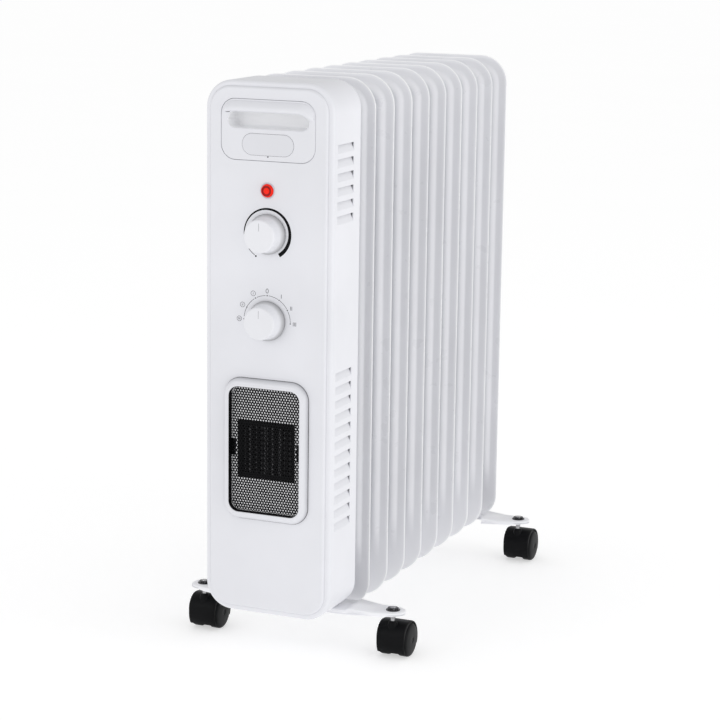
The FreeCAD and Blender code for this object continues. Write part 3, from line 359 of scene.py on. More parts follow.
def fin_shell(node, rear_reach):
    """Two pressed sheets joined at their rim, with slots through both and a neck at each port."""
    low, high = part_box(node)
    seam = low.y + PORT_REACH
    half_w = (high.x - low.x) / 2
    core_x = half_w - FIN_CORNER
    ports = (low.z + PORT_INSET, high.z - PORT_INSET)
    slots = []
    z = low.z + SLOT_FIRST
    while z < high.z - SLOT_FIRST + SLOT_PITCH / 2:
        slots.append((z - SLOT_LENGTH / 2, z + SLOT_LENGTH / 2))
        z += SLOT_PITCH
    z_lines = [low.z + FIN_CORNER, high.z - FIN_CORNER]
    for a, b in slots:
        z_lines += [a, b]
    for port_z, inward in zip(ports, (1, -1)):
        z_lines += [port_z + inward * i * 3 * MM for i in range(-2, 13)]
    z_lines = sorted(set(round(v, 5) for v in z_lines if low.z + FIN_CORNER <= v <= high.z - FIN_CORNER))
    x_lines = [mix(-core_x, core_x, i / GRID_COLUMNS) for i in range(GRID_COLUMNS + 1)]
    border = fin_border(core_x, z_lines, x_lines)
    size = len(border)

    def in_slot(i, j):
        """Whether the border from point i to point j runs along one of the slots."""
        below, above = sorted((border[i][1], border[j][1]))
        return border[i][3] == 0 and border[j][3] == 0 and any(
            a - SLOT_SLACK <= below and above <= b + SLOT_SLACK for a, b in slots)

    shell = Shell()
    sheets = []
    for side in (-1, 1):
        rings = []
        for inset in RING_INSETS:
            ring = []
            for bx, bz, nx, nz in border:
                reach = FIN_CORNER - inset * MM
                x, z = bx + nx * reach, bz + nz * reach
                edge = FIN_HALF_SHEET * (0.55 if inset == 0 else 1)
                y = seam + side * (edge + fin_relief(x, z, inset * MM, low, high))
                ring.append(len(shell.verts))
                shell.verts.append(Vector((x, y, z)))
            rings.append(ring)
        sheets.append(rings)
        # The outermost band takes the paler rim enamel, a painted highlight along the fin edge.
        for band in range(len(RING_INSETS) - 1):
            outer, inner = rings[band], rings[band + 1]
            for i in range(size):
                j = (i + 1) % size
                if band != SLOT_BAND or not in_slot(i, j):
                    shell.face((outer[i], outer[j], inner[j], inner[i]), int(band == 0))
        grid = []
        for z in z_lines:
            row = []
            for x in x_lines:
                y = seam + side * (FIN_HALF_SHEET + fin_relief(x, z, half_w - abs(x), low, high))
                row.append(len(shell.verts))
                shell.verts.append(Vector((x, y, z)))
            grid.append(row)
        for r in range(len(z_lines) - 1):
            for c in range(GRID_COLUMNS):
                shell.face((grid[r][c], grid[r][c + 1], grid[r + 1][c + 1], grid[r + 1][c]))
        places = {(round(shell.verts[v].x, 6), round(shell.verts[v].z, 6)): v for row in grid for v in row}
        inner = [places[(round(bx, 6), round(bz, 6))] for bx, bz, _, _ in border]
        for i in range(size):
            j = (i + 1) % size
            corners = [rings[-1][i], rings[-1][j], inner[j], inner[i]]
            if inner[i] == inner[j]:
                corners.pop()
            shell.face(corners)
    front, back = sheets
    # The faces across the rim carry the same painted highlight.
    for i in range(size):
        j = (i + 1) % size
        shell.face((front[0][i], front[0][j], back[0][j], back[0][i]), 1)
    for i in range(size):
        j = (i + 1) % size
        if in_slot(i, j):
            for band in (SLOT_BAND, SLOT_BAND + 1):
                shell.face((front[band][i], front[band][j], back[band][j], back[band][i]))
            for k in (i, j):
                if any(abs(border[k][1] - end) < SLOT_SLACK for slot in slots for end in slot):
                    shell.face((front[SLOT_BAND][k], front[SLOT_BAND + 1][k],
                                back[SLOT_BAND + 1][k], back[SLOT_BAND][k]))
    for port_z in ports:
        for side, reach in ((-1, PORT_REACH), (1, rear_reach)):
            neck = [(17.2 * MM, side * 6 * MM), (17.2 * MM, side * 9.4 * MM), (PORT_NECK_R, side * 10.4 * MM),
                    (PORT_NECK_R, side * (reach - 0.6 * MM)), (16.4 * MM, side * (reach - 0.05 * MM)),
                    (PORT_BORE_R, side * (reach - 0.05 * MM))]
            if reach == PORT_REACH:
                neck += [(PORT_BORE_R, side * 6 * MM)]
                shell.loft(turned(neck, (0, seam, port_z), steps=48), caps=False, wrap=True)
            else:
                shell.loft(turned(neck, (0, seam, port_z), steps=48))
    return shell


def build_fins():
    """One pressed piece for each CAD fin, with necks in front and behind at each port."""
    fins = sorted(node for node in frame["nodes"] if node.startswith("fin_"))
    for node in fins:
        low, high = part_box(node)
        rear_reach = high.y - low.y - PORT_REACH
        piece("pressed_" + node, fin_shell(node, rear_reach), ["fin_enamel", "fin_rim_highlight"],
              "heater", [node], sharp=50)


# ---------------------------------------------------------------- fascia fittings
GRILLE_PITCH = 3.2 * MM
GRILLE_HOLE_R = 1.02 * MM
WINDOW_CORNER = 11 * MM
PLATE_CORNER = 16 * MM
RECESS_W, RECESS_H, RECESS_CORNER = 94 * MM, 17 * MM, 8.5 * MM
# A printed mark's two faces, as depths from the panel.
PRINT_BACK, PRINT_FACE = 0.05 * MM, -0.06 * MM


def build_bezel():
    """Rounded frame round the fan window, and a thin dark ring painted as shadow in the seam where it meets
    the panel.
    """
    low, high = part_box("fan_bezel")
    window_low, window_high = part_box("fan_grille")
    cx, cz = 0.0, (low.z + high.z) / 2
    width, height = high.x - low.x, high.z - low.z
    open_w, open_h = window_high.x - window_low.x, window_high.z - window_low.z
    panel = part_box("front_fascia")[0].y
    lip = low.y
    rings, tints = [], []

    def ring(grow_w, grow_h, corner, y, tint=0):
        rings.append(oval(cx, cz, grow_w, grow_h, corner, y, 12))
        tints.append(tint)

    base_corner, lip_corner = 20 * MM, WINDOW_CORNER + 3 * MM
    lip_w, lip_h = open_w + 6 * MM, open_h + 6 * MM
    ring(width - 2.4 * MM, height - 2.4 * MM, base_corner - 1.2 * MM, panel + 0.6 * MM)
    ring(width - 2.4 * MM, height - 2.4 * MM, base_corner - 1.2 * MM, panel - 0.1 * MM)
    ring(width - 0.2 * MM, height - 0.2 * MM, base_corner, panel - 0.35 * MM)
    for i in range(9):
        t = i / 8
        bulge = math.sin(math.pi / 2 * t)
        across = 1 - math.cos(math.pi / 2 * t)
        w, h = mix(width, lip_w, 0.35 * t + 0.65 * across), mix(height, lip_h, 0.35 * t + 0.65 * across)
        ring(w, h, mix(base_corner, lip_corner, t), mix(panel - 0.7 * MM, lip + 0.5 * MM, bulge))
    ring(lip_w - 1.0 * MM, lip_h - 1.0 * MM, lip_corner - 0.5 * MM, lip + 0.1 * MM)
    ring(lip_w - 2.2 * MM, lip_h - 2.2 * MM, lip_corner - 1.1 * MM, lip)
    ring(open_w + 1.6 * MM, open_h + 1.6 * MM, WINDOW_CORNER + 0.8 * MM, lip + 0.1 * MM)
    ring(open_w + 0.6 * MM, open_h + 0.6 * MM, WINDOW_CORNER + 0.3 * MM, lip + 0.6 * MM, 1)
    ring(open_w + 0.4 * MM, open_h + 0.4 * MM, WINDOW_CORNER + 0.2 * MM, lip + 1.4 * MM, 1)
    ring(open_w + 0.2 * MM, open_h + 0.2 * MM, WINDOW_CORNER + 0.1 * MM, high.y, 1)
    ring(open_w + 2.4 * MM, open_h + 2.4 * MM, WINDOW_CORNER + 1.2 * MM, high.y, 1)
    ring(open_w + 2.4 * MM, open_h + 2.4 * MM, WINDOW_CORNER + 1.2 * MM, panel + 0.6 * MM, 0)
    shell = Shell()
    shell.loft(rings, tints, wrap=True)
    piece("bezel", shell, ["bezel_plastic", "grille_black"], "heater", ["fan_bezel"], 50)
    # Painted shadow: a thin dark ring on the panel round the bezel's foot.
    seam = Shell()
    seam.loft([oval(cx, cz, width + grow * MM, height + grow * MM, base_corner + grow * MM / 2, y, 12)
               for grow, y in ((-0.6, panel + 0.1 * MM), (-0.6, panel - 0.06 * MM), (0.9, panel - 0.06 * MM),
                               (0.9, panel + 0.1 * MM))], caps=False, wrap=True)
    piece("bezel_seam_shadow", seam, ["gap_shadow_grey"], "heater")


def build_mesh_sheet():
    """Perforated sheet: hexagon cells, each with a round hole, cut off where the bezel covers them."""
    low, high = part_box("fan_grille")
    cx, cz = 0.0, (low.z + high.z) / 2
    half_w, half_h = (high.x - low.x) / 2, (high.z - low.z) / 2
    front, back = low.y + 0.15 * MM, low.y + 0.55 * MM
    row_step = GRILLE_PITCH * math.sqrt(3) / 2
    cell_r = GRILLE_PITCH / math.sqrt(3)
    rows, cols = int(half_h / row_step) + 1, int(half_w / GRILLE_PITCH) + 1
    shell = Shell()
    for row in range(-rows, rows + 1):
        for col in range(-cols, cols + 1):
            x = (col + (row % 2) / 2) * GRILLE_PITCH
            z = row * row_step
            corner_x = max(0, abs(x) - (half_w - WINDOW_CORNER))
            corner_z = max(0, abs(z) - (half_h - WINDOW_CORNER))
            if abs(x) > half_w or abs(z) > half_h or math.hypot(corner_x, corner_z) > WINDOW_CORNER:
                continue
            outer, inner = [], []
            for i in range(12):
                a = math.radians(30 * i + 30)
                reach = cell_r if i % 2 == 0 else cell_r * math.cos(math.radians(30))
                outer.append((cx + x + reach * math.cos(a), cz + z + reach * math.sin(a)))
                inner.append((cx + x + GRILLE_HOLE_R * math.cos(a), cz + z + GRILLE_HOLE_R * math.sin(a)))
            start = len(shell.verts)
            for ring, y in ((outer, front), (inner, front), (inner, back), (outer, back)):
                shell.verts.extend(Vector((px, y, pz)) for px, pz in ring)
            for band in range(3):
                for i in range(12):
                    j = (i + 1) % 12
                    a = start + band * 12
                    shell.face((a + i, a + j, a + 12 + j, a + 12 + i))
    piece("perforated_mesh", shell, ["grille_black"], "heater", ["fan_grille"], 30)


def build_reflector():
    """Bright plate just behind the mesh, with a window for the hot core and a clip notch at each side."""
    low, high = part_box("reflector_plate")
    core_low, core_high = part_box("ptc_core")
    cz = (low.z + high.z) / 2
    notch_z, notch_half, notch_deep = cz + 1 * MM, 9.5 * MM, 5.2 * MM
    y0, y1 = low.y - 0.1 * MM, high.y - 0.3 * MM
    shell = Shell()

    def bar(x0, x1, z0, z1):
        shell.loft([[(x0, y, z0), (x1, y, z0), (x1, y, z1), (x0, y, z1)] for y in (y0, y1)])

    inset = 0.4 * MM
    left, right, bottom, top = low.x + inset, high.x - inset, low.z + inset, high.z - inset
    bar(left + 1.5 * MM, right - 1.5 * MM, core_high.z, top)
    bar(left + 1.5 * MM, right - 1.5 * MM, bottom, core_low.z)
    for x0, x1, inner in ((left, core_low.x, left + notch_deep), (core_high.x, right, right - notch_deep)):
        for z0, z1 in ((core_low.z, notch_z - notch_half), (notch_z + notch_half, core_high.z)):
            bar(x0, x1, z0, z1)
        if x0 == left:
            bar(inner, x1, notch_z - notch_half, notch_z + notch_half)
        else:
            bar(x0, inner, notch_z - notch_half, notch_z + notch_half)
    for x0, x1 in ((left, left + 1.5 * MM), (right - 1.5 * MM, right)):
        bar(x0, x1, core_high.z, top - 2 * MM)
        bar(x0, x1, bottom + 2 * MM, core_low.z)
    piece("reflector", shell, ["bright_plate"], "heater", ["reflector_plate"], 30)


def build_core():
    """Black heater core: a thick frame, thin upright fins and a plate behind them."""
    low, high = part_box("ptc_core")
    shell = Shell()

    def block(x0, x1, z0, z1, y0, y1, tint=0):
        shell.loft([[(x0, y, z0), (x1, y, z0), (x1, y, z1), (x0, y, z1)] for y in (y0, y1)], tint)

    edge = 5.0 * MM
    front = low.y + 0.1 * MM
    block(low.x, high.x, high.z - edge, high.z, front, high.y)
    block(low.x, high.x, low.z, low.z + edge, front, high.y)
    block(low.x, low.x + edge, low.z + edge, high.z - edge, front, high.y)
    block(high.x - edge, high.x, low.z + edge, high.z - edge, front, high.y)
    count = 26
    for i in range(1, count):
        x = mix(low.x + edge, high.x - edge, i / count)
        wide = 0.9 * MM if i % 4 == 0 else 0.25 * MM
        deep = 0.8 * MM if i % 4 == 0 else 2.4 * MM
        pale = int(i % 8 == 4 or i % 3 == 1)
        block(x - wide, x + wide, low.z + edge, high.z - edge, front + deep, high.y, pale)
    block(low.x + edge, high.x - edge, low.z + edge, high.z - edge, high.y - 3 * MM, high.y - 1 * MM)
    piece("heater_core", shell, ["ptc_fins", "core_fin"], "heater", ["ptc_core"], 30)


def build_knob(name, body):
    """Tapered dial with a soft edge, and the thin pointer line on its face."""
    low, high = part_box(name + "_knob")
    cz = (low.z + high.z) / 2
    base, tip = high.y, low.y
    base_r = (high.x - low.x) / 2
    tall = base - tip
    profile = [(0.1 * MM, 0), (base_r - 0.6 * MM, 0), (base_r, 0.5 * MM), (base_r, 1.6 * MM)]
    profile += [(base_r - 0.4 * MM, 2.6 * MM), (base_r - 1.3 * MM, 3.6 * MM), (base_r - 2.2 * MM, 4.8 * MM),
                (base_r - 2.9 * MM, 6.6 * MM), (base_r - 3.3 * MM, 9 * MM), (base_r - 3.6 * MM, 13 * MM),
                (base_r - 3.8 * MM, tall - 2.2 * MM), (base_r - 4.0 * MM, tall - 1.0 * MM),
                (base_r - 4.5 * MM, tall - 0.35 * MM), (base_r - 5.4 * MM, tall - 0.05 * MM),
                (base_r - 6.4 * MM, tall), (0.1 * MM, tall)]
    shell = Shell()
    # The skirt bands take the knob plastic with painted shade towards the panel.
    tints = [1 if band < len(profile) - 5 else 0 for band in range(len(profile) - 1)]
    shell.loft(turned([(r, -along) for r, along in profile], (0, base, cz), steps=96), tints)
    piece(name + "_dial", shell, ["knob_plastic", "knob_skirt_shade"], body, [name + "_knob"], 60)
    mark = Shell()
    mark_top = cz + base_r - 7.5 * MM
    mark.loft([oval(0, mark_top - 4.2 * MM, 0.55 * MM, 8.4 * MM, 0.27 * MM, y, 4)
               for y in (tip + 0.05 * MM, tip - 0.04 * MM)])
    piece(name + "_pointer", mark, ["pointer_grey"], body)


def build_prints():
    """Printed scales: a crescent that thickens clockwise round one dial, seven ticks round the other."""
    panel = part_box("front_fascia")[0].y
    y0, y1 = panel + PRINT_BACK, panel + PRINT_FACE
    z = middle("thermostat_knob").z
    outer_r = 27.8 * MM
    shell = Shell()
    steps = 84
    rings = []
    for i in range(steps + 1):
        t = i / steps
        a = math.radians(184 - t * 242)
        thick = mix(1.1 * MM, 4.2 * MM, t ** 1.1)
        inner_r = outer_r - thick
        c, s = math.cos(a), math.sin(a)
        rings.append([(outer_r * c, y0, z + outer_r * s), (outer_r * c, y1, z + outer_r * s),
                      (inner_r * c, y1, z + inner_r * s), (inner_r * c, y0, z + inner_r * s)])
    shell.loft(rings)
    rings = []
    for i in range(9):
        a = math.radians(218 + 2.4 * i)
        c, s = math.cos(a), math.sin(a)
        rings.append([(r * c, y, z + r * s) for r, y in
                      ((outer_r, y0), (outer_r, y1), (outer_r - 0.6 * MM, y1), (outer_r - 0.6 * MM, y0))])
    shell.loft(rings)
    a = math.radians(90 + 151)
    shell.loft(turned([(1.0 * MM, PRINT_BACK), (1.0 * MM, PRINT_FACE)],
                      (outer_r * math.cos(a), panel, z + outer_r * math.sin(a)), steps=20))
    piece("thermostat_scale", shell, ["print_black"], "heater")
    z = middle("selector_knob").z
    shell = Shell()
    ring_r = 27.2 * MM

    def stroke(p, q, wide):
        """Flat printed line between two points of the panel."""
        along = Vector((q[0] - p[0], 0, q[1] - p[1]))
        side = Vector((-along.z, 0, along.x)).normalized() * wide / 2
        ends = [Vector((p[0], 0, p[1])) - side, Vector((q[0], 0, q[1])) - side,
                Vector((q[0], 0, q[1])) + side, Vector((p[0], 0, p[1])) + side]
        shell.loft([[(e.x, y, e.z) for e in ends] for y in (y0, y1)])

    def at(angle, radius):
        a = math.radians(90 - angle)
        return radius * math.cos(a), z + radius * math.sin(a)

    for start, end in ((-84, -64), (-60, -34), (-26, -4), (4, 28), (34, 58), (64, 90)):
        previous = at(start, ring_r)
        for i in range(1, 9):
            following = at(mix(start, end, i / 8), ring_r)
            stroke(previous, following, 0.5 * MM)
            previous = following
    for angle in (-90, -62, -30, 0, 31, 61, 92):
        spot = at(angle, ring_r)
        shell.loft(turned([(0.75 * MM, PRINT_BACK), (0.75 * MM, PRINT_FACE)],
                          (spot[0], panel, spot[1]), steps=14))
    sign_r = 32.2 * MM
    sign = at(0, sign_r)
    zero = [(1.4 * MM * math.cos(a), 2.3 * MM * math.sin(a))
            for a in [2 * math.pi * i / 16 for i in range(17)]]
    for p, q in zip(zero[:-1], zero[1:]):
        stroke((sign[0] + p[0], sign[1] + p[1]), (sign[0] + q[0], sign[1] + q[1]), 0.6 * MM)
    for angle, bars in ((31, 1), (61, 2), (92, 3)):
        x, zc = at(angle, sign_r)
        for i in range(bars):
            off = (i - (bars - 1) / 2) * 1.5 * MM
            stroke((x + off, zc - 2.1 * MM), (x + off, zc + 2.1 * MM), 0.6 * MM)
    for angle, bars in ((-30, 1), (-62, 2), (-90, 3)):
        x, zc = at(angle, sign_r + 0.6 * MM)
        for i in range(16):
            p, q = [(2.7 * MM * math.cos(a), 2.7 * MM * math.sin(a)) for a in
                    (2 * math.pi * i / 16, 2 * math.pi * (i + 1) / 16)]
            stroke((x + p[0], zc + p[1]), (x + q[0], zc + q[1]), 0.45 * MM)
        for i in range(bars):
            off = (i - (bars - 1) / 2) * 1.0 * MM
            stroke((x + off, zc - 1.2 * MM), (x + off, zc + 1.2 * MM), 0.42 * MM)
    piece("selector_scale", shell, ["print_and_gap_shadow_grey"], "heater")


def build_lamp():
    """Domed red lens with a bright middle and a dark groove round it, in a low collar painted greyer than the
    panel as shade round the lens.
    """
    low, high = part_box("indicator_lens")
    centre = ((low.x + high.x) / 2, high.y, (low.z + high.z) / 2)
    r, tall = (high.x - low.x) / 2, high.y - low.y
    profile = [(r, 0.2 * MM), (r, -0.6 * MM), (r - 0.2 * MM, -1.6 * MM), (r - 0.7 * MM, -tall + 0.9 * MM),
               (r - 1.4 * MM, -tall + 0.5 * MM), (r * 0.62, -tall + 0.5 * MM), (r * 0.56, -tall + 0.9 * MM),
               (r * 0.50, -tall + 0.8 * MM), (r * 0.44, -tall + 0.2 * MM), (r * 0.3, -tall + 0.03 * MM),
               (0.1 * MM, -tall)]
    shell = Shell()
    shell.loft(turned(profile, centre, steps=48), [0, 0, 0, 0, 1, 1, 1, 0, 0, 0])
    piece("lamp_lens", shell, ["red_lens", "red_rim"], "heater", ["indicator_lens"], 60)
    # Painted shade: the collar is greyer than the panel round it.
    shell = Shell()
    collar = [(r + 0.05 * MM, 0.1 * MM), (r + 0.05 * MM, -0.5 * MM), (r + 0.5 * MM, -0.9 * MM),
              (r + 1.5 * MM, -0.7 * MM), (r + 1.9 * MM, 0.1 * MM)]
    shell.loft(turned(collar, centre, steps=48), caps=False, wrap=True)
    piece("lamp_collar", shell, ["collar_shade"], "heater", (), 60)


def build_handle():
    """Flush plate with a finger recess, and a hood whose lip hangs over it and droops at its ends."""
    low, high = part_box("handle_insert")
    recess = next(o for o in frame["record"]["physics"]["openings"] if o["name"] == "finger_recess")
    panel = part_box("front_fascia")[0].y
    width, height = high.x - low.x, high.z - low.z
    cz = (low.z + high.z) / 2
    slot_z = (recess["box_m"][0][2] + recess["box_m"][1][2]) / 2
    deep = high.y - 2.2 * MM
    rings = [oval(0, cz, width, height, PLATE_CORNER, panel + 2.6 * MM),
             oval(0, cz, width, height, PLATE_CORNER, panel + 0.5 * MM),
             oval(0, cz, width - 0.3 * MM, height - 0.3 * MM, 15.85 * MM, panel + 0.15 * MM),
             oval(0, cz, width - 1 * MM, height - 1 * MM, 15.5 * MM, panel)]
    for grow, y in ((2.2, 0.0), (1.0, 0.12), (0.3, 0.5), (0.0, 1.2)):
        rings.append(oval(0, slot_z, RECESS_W + grow * MM, RECESS_H + grow * MM,
                          RECESS_CORNER + grow / 2 * MM, panel + y * MM))
    for shrink, y in ((0.6, deep - 3 * MM), (1.4, deep - 1.2 * MM), (3.0, deep - 0.3 * MM), (5.0, deep)):
        rings.append(oval(0, slot_z, RECESS_W - shrink * MM, RECESS_H - shrink * MM,
                          RECESS_CORNER - shrink / 2 * MM, y))
    for grow, y in ((3.6, high.y), (4.0, panel + 2.6 * MM)):
        rings.append(oval(0, slot_z, RECESS_W + grow * MM, RECESS_H + grow * MM, 10 * MM, y))
    shell = Shell()
    front_rings, back_rings = rings[:-2], rings[-2:]
    # The recess walls and back wall take a paler plastic, painted light inside the finger recess.
    tints = [0 if band < 6 else 1 for band in range(len(front_rings) - 1)]
    shell.loft(front_rings, tints, caps=False)
    size = len(front_rings[0])
    last = len(shell.verts) - size
    shell.face(range(last, last + size), 1)
    shell.loft(back_rings[::-1], caps=False)
    shell.loft([back_rings[1], front_rings[0]], caps=False)
    last = len(shell.verts)
    shell.verts.extend(Vector(point) for point in back_rings[0])
    shell.face(range(last, last + size))
    lip_z, top_z = slot_z + RECESS_H / 2, high.z - 1.6 * MM
    reach, rise = 53 * MM, panel - low.y
    sections = []
    count = 48
    for i in range(count + 1):
        x = reach * math.sin(math.pi / 2 * (2 * i / count - 1)) * 0.999
        along = abs(x) / reach
        swell = rise * max(0.0, 1 - along ** 7) ** 0.55
        into = max(0.0, abs(x) - 38.5 * MM)
        crown = top_z - (PLATE_CORNER - math.sqrt(max(0.0, PLATE_CORNER ** 2 - into ** 2)))
        lip = lip_z - (6 if x > 0 else 0.6) * MM * smooth((abs(x) - 37 * MM) / (14 * MM))
        ring = []
        for k in range(19):
            f = k / 18
            bulge = math.sin(math.pi * f ** 1.45)
            z = mix(lip, crown, (1 + math.cos(math.pi * f)) / 2)
            ring.append((x, panel - swell * bulge + 0.05 * MM, z))
        ring += [(x, panel + 1.2 * MM, lip), (x, panel + 1.2 * MM, crown)]
        sections.append(ring)
    shell.loft(sections)
    piece("grip_insert", shell, ["fascia_plastic", "pocket_lit_plastic"],
          "heater", ["handle_insert"], 50)
    # Painted shadow: a thin dark wedge on the panel under the left end of the hood's lip.
    gap = ((-52.4, 0.6), (-50.6, 1.2), (-44.5, 0.5), (-44.5, -1.0), (-47.5, -1.2), (-50.5, -0.6))
    shell = Shell()
    shell.loft([[(x * MM, y, lip_z + z * MM) for x, z in gap]
                for y in (panel + PRINT_BACK, panel + PRINT_FACE)])
    piece("lip_shadow_gap", shell, ["gap_shadow_grey"], "heater")


def build_badge():
    """Blank pill-shaped badge, a thin dark ring painted as shadow in the seam round it, and the dot below."""
    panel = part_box("front_fascia")[0].y
    low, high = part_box("badge")
    bz, bw, bh = (low.z + high.z) / 2, high.x - low.x, high.z - low.z
    face = low.y
    shell = Shell()
    shell.loft([oval(0, bz, bw - s * MM, bh - s * MM, bh / 2, y, 16) for s, y in
                ((0, panel + 0.1 * MM), (0, face + 0.35 * MM), (0.25, face + 0.12 * MM),
                 (0.8, face + 0.02 * MM), (2.0, face))])
    piece("blank_badge", shell, ["badge_plastic"], "heater", ["badge"], 50)
    # Painted shadow: a thin dark ring round the badge, in its seam.
    shell = Shell()
    shell.loft([oval(0, bz, bw + s * MM, bh + s * MM, (bh + s * MM) / 2, y, 16) for s, y in
                ((0.1, panel + 0.1 * MM), (0.1, panel - 0.05 * MM), (0.6, panel - 0.05 * MM),
                 (0.6, panel + 0.1 * MM))], caps=False, wrap=True)
    shell.loft(turned([(0.85 * MM, 0.1 * MM), (0.85 * MM, -0.07 * MM)],
                      (0, panel, bz - bh / 2 - 1.2 * MM), steps=16))
    piece("badge_seam_shadow", shell, ["print_and_gap_shadow_grey"], "heater")


def build_rim_cove():
    """Shallow cove that joins the casing's rolled rim to the raised front panel, its middle bands painted
    darker as shade in the groove.
    """
    low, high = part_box("control_casing")
    cz = (low.z + high.z) / 2
    width, height = min(high.x - low.x, 149 * MM), high.z - low.z
    front = low.y

    def ring(inset, y):
        return oval(0, cz, width - 2 * inset * MM, height - 2 * inset * MM, (30 - inset) * MM, y, 16)

    shell = Shell()
    shell.loft([ring(5.2, front + 0.25 * MM), ring(5.5, front + 0.05 * MM), ring(5.8, front - 0.25 * MM),
                ring(6.2, front - 0.7 * MM), ring(6.6, front - 1.25 * MM), ring(7.2, front - 1.2 * MM),
                ring(7.2, front + 0.9 * MM), ring(5.2, front + 0.9 * MM)], [0, 1, 1, 0, 0, 0, 0, 0],
               caps=False, wrap=True)
    piece("rim_cove", shell, ["fascia_plastic", "cove_shade"], "heater", (), 60)


# ---------------------------------------------------------------- feet
ARM_TIP_R = 14.5 * MM
ARM_TIP_THICK = 5 * MM
FRONT_ROOT_X, REAR_ROOT_X = 66 * MM, 76 * MM
ROOT_REACH = 26 * MM
BOLT_HALF = 10 * MM
STEM_TRAIL = 13 * MM
HOOD_BROW_R = 17 * MM


def bracket_shell(node, stem_x, stem_y, bolt_y):
    """Pressed foot arm: rounded tips over the stems, wider towards the middle, folded down at its edges."""
    low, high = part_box(node)
    tip_r = min(high.x - stem_x, ARM_TIP_R)
    tip_x = high.x - tip_r
    root_x = FRONT_ROOT_X if stem_y < 0 else REAR_ROOT_X
    tip_z = low.z + ARM_TIP_THICK
    shell = Shell()
    stations = sorted(((tip_x + tip_r * math.sin(math.radians(t)), tip_r * math.cos(math.radians(t)))
                       for t in (0, 15, 30, 45, 57, 68, 77, 83, 86)), reverse=True)
    spine = [mix(tip_x, root_x, i / 14) for i in range(1, 15)]
    rows = [(x, stem_y - half, stem_y + half) for x, half in stations]
    for x in spine:
        t = (tip_x - x) / (tip_x - root_x)
        rows.append((x, mix(stem_y - tip_r, stem_y - ROOT_REACH, t),
                     mix(stem_y + tip_r, bolt_y + BOLT_HALF, t)))
    under_casing = stem_y < 0
    if under_casing:
        rows += [(x * MM, stem_y - ROOT_REACH, bolt_y + BOLT_HALF) for x in (64, 61, 58, 54, 50, 46)]
        root_x = 46 * MM
    inner_x = root_x - 5 * MM
    rows.append((inner_x, bolt_y - BOLT_HALF, bolt_y + BOLT_HALF))
    rows += [(x * MM, bolt_y - BOLT_HALF, bolt_y + BOLT_HALF) for x in (38, 28, 16)]
    rows += [(-x, a, b) for x, a, b in reversed(rows)]
    rings = []
    for x, y0, y1 in rows:
        reach = abs(x)
        top = mix(high.z, tip_z, min(1.0, max(0.0, (reach - 56 * MM) / (42 * MM))))
        if y1 - y0 > 30 * MM and reach < 70 * MM:
            top = min(top, 56.1 * MM)
        half = (y1 - y0) / 2
        fold = min(2.4 * MM, half * 0.45)
        wall = min(1.8 * MM, half * 0.35)
        end = min(1.0, max(0.0, (high.x - reach) / (3 * MM)))
        top -= 2.2 * MM * (1 - math.sqrt(1 - (1 - end) ** 2))
        lower = low.z + 0.2 * MM + 1.6 * MM * smooth((reach - 104 * MM) / (26 * MM))
        raised = 0.9 * MM * smooth((95 * MM - reach) / (4 * MM)) * smooth((half - 12 * MM) / (4 * MM))
        flare = 1.3 * MM * smooth((top - lower - 4 * MM) / (4 * MM))
        bank = min(half * 0.55, 9 * MM)
        groove = 1.7 * MM * smooth((top - lower - fold - 2.2 * MM) / (2.4 * MM))
        ring = [(x, y0 - flare * 0.9, lower), (x, y0 - flare * 0.75, lower + 0.8 * MM),
                (x, y0 + groove, lower + 1.5 * MM), (x, y0 + groove, top - fold - 0.6 * MM),
                (x, y0, top - fold), (x, y0 + fold * 0.3, top - fold * 0.3), (x, y0 + fold, top),
                (x, y0 + bank, top), (x, y0 + bank + min(1.5 * MM, half * 0.2), top + raised),
                (x, y1 - bank - min(1.5 * MM, half * 0.2), top + raised), (x, y1 - bank, top),
                (x, y1 - fold, top), (x, y1 - fold * 0.3, top - fold * 0.3), (x, y1, top - fold),
                (x, y1, lower), (x, y1 - wall, lower), (x, y1 - wall, top - 2 * MM),
                (x, y0 + wall, top - 2 * MM), (x, y0 + wall, lower)]
        rings.append(ring)
    shell.loft(rings)
    if under_casing:
        front, base = stem_y - ROOT_REACH, low.z + 0.2 * MM
        shell.loft([[(x * MM, front - 1.1 * MM, base), (x * MM, front - 1.0 * MM, base + 0.8 * MM),
                     (x * MM, front + 1.7 * MM, base + 1.5 * MM), (x * MM, front + 16 * MM, base + 1.6 * MM),
                     (x * MM, front + 16 * MM, base)] for x in (-48, -16, 16, 48)])
    return shell


